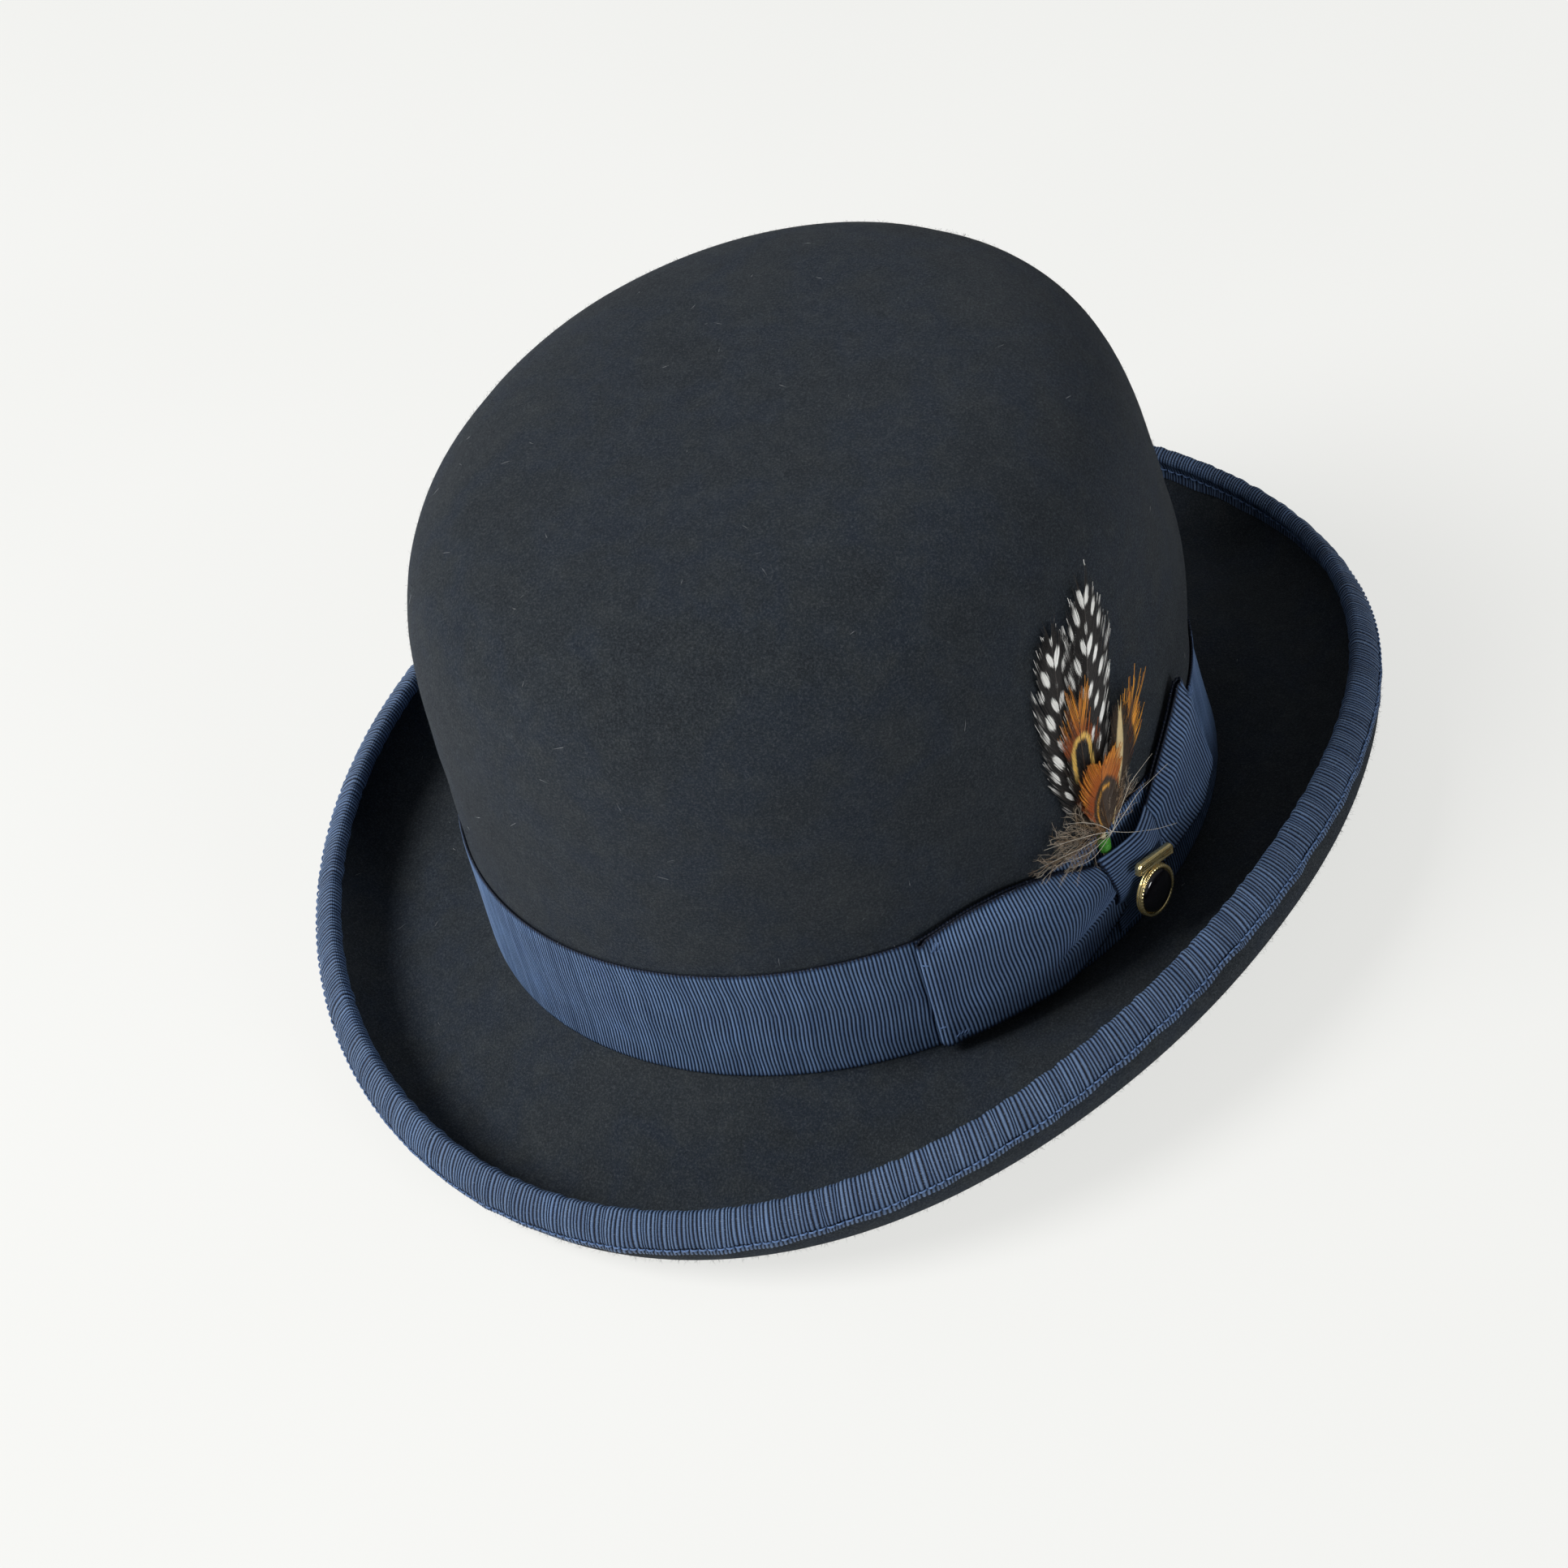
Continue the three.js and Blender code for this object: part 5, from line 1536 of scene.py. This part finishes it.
def feather_stem():
    """The bound quills: five shafts gathered into one tapering stem."""
    q = np.linspace(0, 1, 24)
    radius = 0.40 * np.interp(q, [0, 0.1, 1], [0.55, 1, 1.0])
    paths = [round_stem(q * STEM_LENGTH, radius, k / 5 * TAU + 0.6 * q) for k in range(5)]
    thickness = 0.34 * np.interp(q, [0, 0.06, 1], [0.5, 1, 0.95])
    thread_piece("feather_stem", paths, [thickness] * 5, "quill", sides=12,
                 body="feather_spray")


def stem_wrap():
    """Green floss wound round the stem in close turns, ends tucked in."""
    turns, per_turn = 13, 26
    q = np.linspace(0, 1, turns * per_turn)
    radius = 1.22 + 0.14 * sin(pi * q) + 0.03 * sin(q * 37)
    radius = radius - 0.25 * (1 - smooth(q, 0, 0.02)) - 0.25 * smooth(q, 0.98, 1)
    winding = round_stem(18.3 + 4.0 * q + 0.05 * sin(q * 61), radius, q * turns * TAU)
    q = np.linspace(0, 1, 16)
    tail = round_stem(19.0 + 2.4 * q, 1.52, 0.5 * q + 2)
    thread_piece("stem_wrap", [winding, tail], [0.185, 0.10], "green_thread", sides=7,
                 body="feather_spray")


feather_stem()
stem_wrap()

# --------------------------------------------------------------- sweatband
SWEATBAND_FOOT, SWEATBAND_WIDTH = 2.4, 34.6


def sweat_out(height):
    """Where the sweatband's outer face lies, further in towards its free edge."""
    return -3.5 - 3.1 * (height / 37) ** 1.2


def sweatband():
    count = 600
    places, cord = rib_cords(count)
    turn = places / count * TAU
    shares = np.array([0, 0.01, 0.03, 0.08, 0.2, 0.35, 0.5, 0.65, 0.8, 0.9, 0.95, 0.98, 1.0])
    # stands off a little unevenly at its free edge
    uneven = 0.21 * np.minimum(0, ring_wave(turn, 91, [3, 5, 7]))
    rows, ribs = [], []
    for share in shares:
        height = SWEATBAND_FOOT + SWEATBAND_WIDTH * share
        edge = min(share, 1 - share)
        relief = 0.16 * (0.5 + 0.5 * smooth(edge, 0, 0.03)) * cord
        scallop = 0.12 * (cord - 0.3) * (1 if share > 0.5 else -1) * (edge < 0.02)
        out = sweat_out(height) - 1.05 - relief + uneven * share**2
        rows.append(drawn_wall(turn, height + scallop, out))
        # painted shade and highlight: the flatter edge cords get a lower rib
        ribs.append(cord * (0.6 + 0.4 * smooth(edge, 0, 0.02)))
    for share in shares[::-2]:
        height = SWEATBAND_FOOT + SWEATBAND_WIDTH * share
        rows.append(drawn_wall(turn, height, sweat_out(height) - 0.15 + uneven * share**2))
        # the side against the felt gets a low rib of 0.3, painted shade
        ribs.append(0 * cord + 0.3)
    across = np.concatenate([shares, shares[::-2]])[:, None] * SWEATBAND_WIDTH
    band_piece("sweatband", rows, "sweatband", rib=ribs, st=cloth_coords(places, across))


def reed():
    """The twisted cord at the foot of the sweatband."""
    count, sides, twists = 900, 14, 260
    turn = np.arange(count) / count * TAU
    rows, ribs = [], []
    for j in range(sides):
        angle = j / sides * TAU
        twist = 0.5 + 0.5 * cos(turn * twists + angle)
        radius = 0.66 + 0.08 * twist
        rows.append(drawn_wall(turn, 1.1 + radius * sin(angle), -3.9 + radius * cos(angle)))
        # painted shade and highlight: the twist's ridges are coloured light and its grooves dark
        ribs.append(twist)
    band_piece("sweatband_reed", rows, "reed", rib=ribs,
               st=cloth_coords(turn * twists / TAU, np.arange(sides)[:, None] * 0.3))


def sweatband_stitches():
    """A row of stitches just above the sweatband's foot."""
    g = np.random.default_rng(95)
    count = 190
    q = np.linspace(0, 1, 7)
    paths = []
    for i in range(count):
        turn = (i + 0.5) / count * TAU + (q - 0.5) * TAU / count * 0.62
        height = 3.5 + g.uniform(-0.12, 0.12)
        out = sweat_out(height) - 1.28 - 0.22 * sin(pi * q) ** 0.6
        paths.append(drawn_wall(turn, height, out))
    thread_piece("sweatband_stitches", paths, [0.15] * count, replacing=False)


def back(along, height, out):
    """A point inside the back of the hat; along runs from its middle towards -X."""
    return drawn_wall(pi / 2 + along / HALF_WIDTH, height, out)


def inner_strip(part, stations, base_out, ribs_per_mm, cup):
    """A small satin ribbon on the sweatband at the back; stations are
    (along, lower edge, upper edge, distance out from base_out)."""
    ends, low, high, out = np.array(stations, float).T
    count = int((ends[-1] - ends[0]) * ribs_per_mm)
    places, cord = rib_cords(count)
    along = np.interp(places / count, np.linspace(0, 1, len(ends)), ends)
    low, high, out = (curve(list(zip(ends, v)))(along)[:, None]
                      for v in (low, high, base_out + out))
    across = np.linspace(0, 1, 15)
    cupped = cup * sin(pi * across)[None, :]
    height = low + (high - low) * across[None, :]
    along, cord = along[:, None], cord[:, None]
    sheet_piece(part, back(along, height, out - 0.5 - 0.10 * cord - cupped),
                back(along, height, out - cupped * 0.8), "satin",
                rib=np.repeat(cord, 2 * len(across), 1),
                st=cloth_coords(places[:, None], there_and_back(across)[None, :] * 10))


def sweatband_bow():
    middle = sweat_out(16.0)
    inner_strip("sweatband_bow", [
        (-12, 6.5, 15.5, 0), (-9, 6, 16, -0.25), (-5, 7.6, 14.4, -0.3), (-1.5, 9.2, 12.8, 0),
        (1.5, 9.2, 12.8, 0), (5, 7.6, 14.4, -0.3), (9, 6, 16, -0.25), (12, 6.5, 15.5, 0)],
        base_out=middle - 1.5, ribs_per_mm=2.2, cup=0.25)
    inner_strip("sweatband_bow_knot", [
        (-2, 8.8, 13.2, 0.25), (-1.4, 8.4, 13.6, 0), (0, 8.2, 13.8, -0.1),
        (1.4, 8.4, 13.6, 0), (2, 8.8, 13.2, 0.25)],
        base_out=middle - 2.5, ribs_per_mm=2.4, cup=0.1)


def size_label():
    """A blank woven tab, stitched at its short ends."""
    foot, width = 20, 9
    out = sweat_out(30.0) - 1.1 - 0.38
    places, shares = np.linspace(-10, 10, 81), np.linspace(0, 1, 37)
    along, across = np.meshgrid(places, shares, indexing="ij")
    height = foot + width * across
    lift = (0.10 * sin(along * 0.9) * sin(pi * across)
            + 0.10 * (np.abs(across - 0.5) * 2) ** 6)
    weave = 0.03 * sin(along * 12) * sin(across * width * 12)
    sheet_piece("size_label", back(along, height, out - 0.34 - lift - weave),
                back(along, height, out - lift), "label",
                st=cloth_coords(places[:, None], there_and_back(shares)[None, :] * width))
    q = np.linspace(0, 1, 7)
    paths = [back(x + 0 * q, foot + 0.6 + k * 1.2 + q * 0.85,
                  out - 0.42 - 0.20 * sin(pi * q) ** 0.6)
             for x in (-9.3, 9.3) for k in range(7)]
    thread_piece("size_label_stitches", paths, [0.12] * len(paths), replacing=False)


sweatband()
reed()
sweatband_stitches()
sweatband_bow()
size_label()

# ------------------------------------------------------------------ lining
LINING_AROUND = 560
LINING_TURN = np.arange(LINING_AROUND) / LINING_AROUND * TAU
LINING_GAP = 0.55                                       # between the felt and the satin


def lining_side():
    """The satin wall, in soft pleats drawn in towards the tip."""
    turn, folds = LINING_TURN, 64
    rises = np.concatenate([np.linspace(0.2, 0.8, 22), np.linspace(0.8, 0.92, 10)[1:]])
    wander = turn * folds + 1.2 * ring_wave(turn, 96, [3, 5, 9])
    sag = 0.35 * np.maximum(0, ring_wave(turn, 97, [4, 6, 11]))

    def fold(rise):
        gather = smooth(rise, 0.28, 0.9)
        pleat = (0.5 + 0.5 * cos(wander + 0.8 * rise)) ** 1.6
        return -0.15 - (1.5 * gather + 0.15) * pleat - sag * gather

    rows = [drawn_crown(turn, rise, -FELT - LINING_GAP - 0.35 + fold(rise)) for rise in rises]
    rows += [drawn_crown(turn, rise, -FELT - LINING_GAP + fold(rise) * 0.98)
             for rise in rises[::-1]]
    band_piece("lining_side", rows, "satin",
               st=cloth_coords(turn * 90, there_and_back(rises)[:, None] * 130))


def lining_tip():
    """The oval tip, lightly quilted."""
    around = 360
    turn = np.arange(around) / around * TAU
    rises = (1 - np.linspace(0.985, 0.03, 40) ** TOP_POWER) ** (1 / SHOULDER_POWER)
    rises = [0.93, *rises[rises > 0.925]]
    upper, lower = -FELT - 0.6, -FELT - 1.65

    def quilt(rise):
        radius = np.maximum(1e-9, 1 - rise**SHOULDER_POWER) ** (1 / TOP_POWER)
        return (0.35 * sin(radius * 26) * sin(turn * 12) * smooth(radius, 0.15, 0.4)
                * smooth(1 - radius, 0.03, 0.15))

    rings = np.stack([drawn_crown(turn, rise, upper) for rise in rises[::-1]]
                     + [drawn_crown(turn, rise, lower - quilt(rise)) for rise in rises])
    poles = [[0, LEAN * CROWN_HEIGHT, CROWN_HEIGHT + FOOT + out] for out in (upper, lower)]
    flat = np.concatenate([rings.reshape(-1, 3), poles])
    capped_piece("lining_tip", rings, poles, "satin", st=cloth_coords(flat[:, 0], flat[:, 1]))


def lining_seam():
    """The twisted cord between side and tip."""
    sides = 10
    rows = []
    for j in range(sides):
        angle = j / sides * TAU
        radius = 0.62 + 0.07 * (0.5 + 0.5 * cos(LINING_TURN * 200 + angle))
        rows.append(drawn_crown(LINING_TURN, 0.925 + 0.0055 * radius * sin(angle),
                                -FELT - 2.9 + radius * cos(angle)))
    band_piece("lining_seam_cord", rows, "satin", replacing=False,
               st=cloth_coords(LINING_TURN * 90, np.arange(sides)[:, None] * 0.4))


lining_side()
lining_tip()
lining_seam()


# ------------------------------------------------------ floor, light, camera
def floor():
    half, count, z = 4000, 41, -0.02
    steps = np.linspace(-half, half, count)
    x, y = np.meshgrid(steps, steps, indexing="ij")
    points = np.stack([x, y, np.full_like(x, z)], -1).reshape(-1, 3)
    faces = grid_faces(count, count, close_columns=False)[:, ::-1]
    floor_material()
    ob = mesh_object("floor", points, [faces], "floor", {})
    ob.visible_volume_scatter = False


def rotation(axis, angle):
    """Rotation about axis 0, 1 or 2."""
    matrix = np.eye(3)
    first, second = (axis + 1) % 3, (axis + 2) % 3
    matrix[first, first] = matrix[second, second] = cos(angle)
    matrix[second, first] = sin(angle)
    matrix[first, second] = -sin(angle)
    return matrix


# The view's own axes in the hat's frame; the lights follow them too
VIEW_ANGLES = (0.756174, 0.886339, -0.309814)           # about the view's x, y and z
Z_UP_TO_VIEW = np.array([[1, 0, 0], [0, 0, -1], [0, 1, 0]], float)
VIEW = (rotation(2, VIEW_ANGLES[2]) @ rotation(0, VIEW_ANGLES[0])
        @ rotation(1, VIEW_ANGLES[1]) @ Z_UP_TO_VIEW)
RIGHT, UP, TOWARDS = VIEW[0], -VIEW[1], -VIEW[2]
VIEW_CENTRE = np.array([0, 0, 50 + FOOT])
CENTRE_IN_VIEW = np.array([5.7115, -33.4939, 751.508])  # right, down and away from the eye


def camera():
    data = bpy.data.cameras.new("camera")
    data.sensor_fit = "HORIZONTAL"
    data.sensor_width = 36.0
    data.lens = 70.6051174
    data.clip_start, data.clip_end = 0.01, 50
    ob = bpy.data.objects.new("camera", data)
    scene.collection.objects.link(ob)
    pose = np.eye(4)
    pose[:3, :3] = np.stack([RIGHT, UP, TOWARDS], 1)
    pose[:3, 3] = (VIEW_CENTRE - VIEW.T @ CENTRE_IN_VIEW) / 1000
    ob.matrix_world = Matrix(pose.tolist())
    scene.camera = ob


def tent():
    """World light, brighter overhead and on the viewer's left, dim on the right."""
    leftness, upness = 0.65, 0.60
    dim, bright, seen_by_camera = 0.035, 0.42, 0.86
    world = bpy.data.worlds.new("tent")
    scene.world = world
    world.use_nodes = True
    nodes, links = world.node_tree.nodes, world.node_tree.links
    background = nodes["Background"]
    direction = nodes.new("ShaderNodeTexCoord")
    facing = nodes.new("ShaderNodeVectorMath")
    facing.operation = "DOT_PRODUCT"
    links.new(direction.outputs["Generated"], facing.inputs[0])
    facing.inputs[1].default_value = tuple(-RIGHT * leftness + np.array([0, 0, upness]))
    strength = nodes.new("ShaderNodeMapRange")
    for name, value in [("From Min", -0.6), ("From Max", 1.0), ("To Min", dim),
                        ("To Max", bright)]:
        strength.inputs[name].default_value = value
    links.new(facing.outputs["Value"], strength.inputs["Value"])
    seen = nodes.new("ShaderNodeMix")                    # the camera sees an even pale wall
    seen.data_type = "FLOAT"
    seen.inputs[3].default_value = seen_by_camera
    path = nodes.new("ShaderNodeLightPath")
    links.new(path.outputs["Is Camera Ray"], seen.inputs[0])
    links.new(strength.outputs["Result"], seen.inputs[2])
    links.new(seen.outputs[0], background.inputs[1])
    background.inputs[0].default_value = (0.985, 0.99, 1.0, 1.0)


def area_light(name, place, target, size, power, colour):
    """A disk lamp; places and size in metres."""
    light = bpy.data.lights.new(name, "AREA")
    light.shape = "DISK"
    light.size = size
    light.energy = power
    light.color = colour
    ob = bpy.data.objects.new(name, light)
    scene.collection.objects.link(ob)
    ob.location = place
    aim = Vector(target) - Vector(place)
    ob.rotation_euler = aim.to_track_quat("-Z", "Y").to_euler()
    return ob


def view_light(name, right, up, towards, **settings):
    """A light placed from the middle of the hat along the view's axes, in metres."""
    offset = RIGHT * right + UP * up + TOWARDS * towards
    middle = (0, 0, 0.06)
    area_light(name, Vector(offset) + Vector(middle), middle, **settings)


def inside_light():
    """A narrow lamp under the table, whose underside is clear, lights only the
    inside of the hat."""
    ob = area_light("inside", place=(0.02, 0.0, -0.55), target=(0.0, 0.0, 0.1), size=0.22,
                    power=1.6, colour=(1.0, 0.98, 0.95))
    ob.data.spread = np.radians(34)
    ob.visible_camera = False


scene = bpy.context.scene
floor()
scene.view_settings.view_transform = "Standard"
scene.view_settings.look = "None"
scene.view_settings.exposure = 0.0
camera()
tent()
view_light("key", right=-1.47, up=0.55, towards=1.0, size=1.0, power=42.0,
           colour=(1.0, 0.995, 0.985))
view_light("fill", right=1.15, up=-0.45, towards=1.6, size=0.7, power=14.0,
           colour=(0.98, 0.99, 1.0))
inside_light()
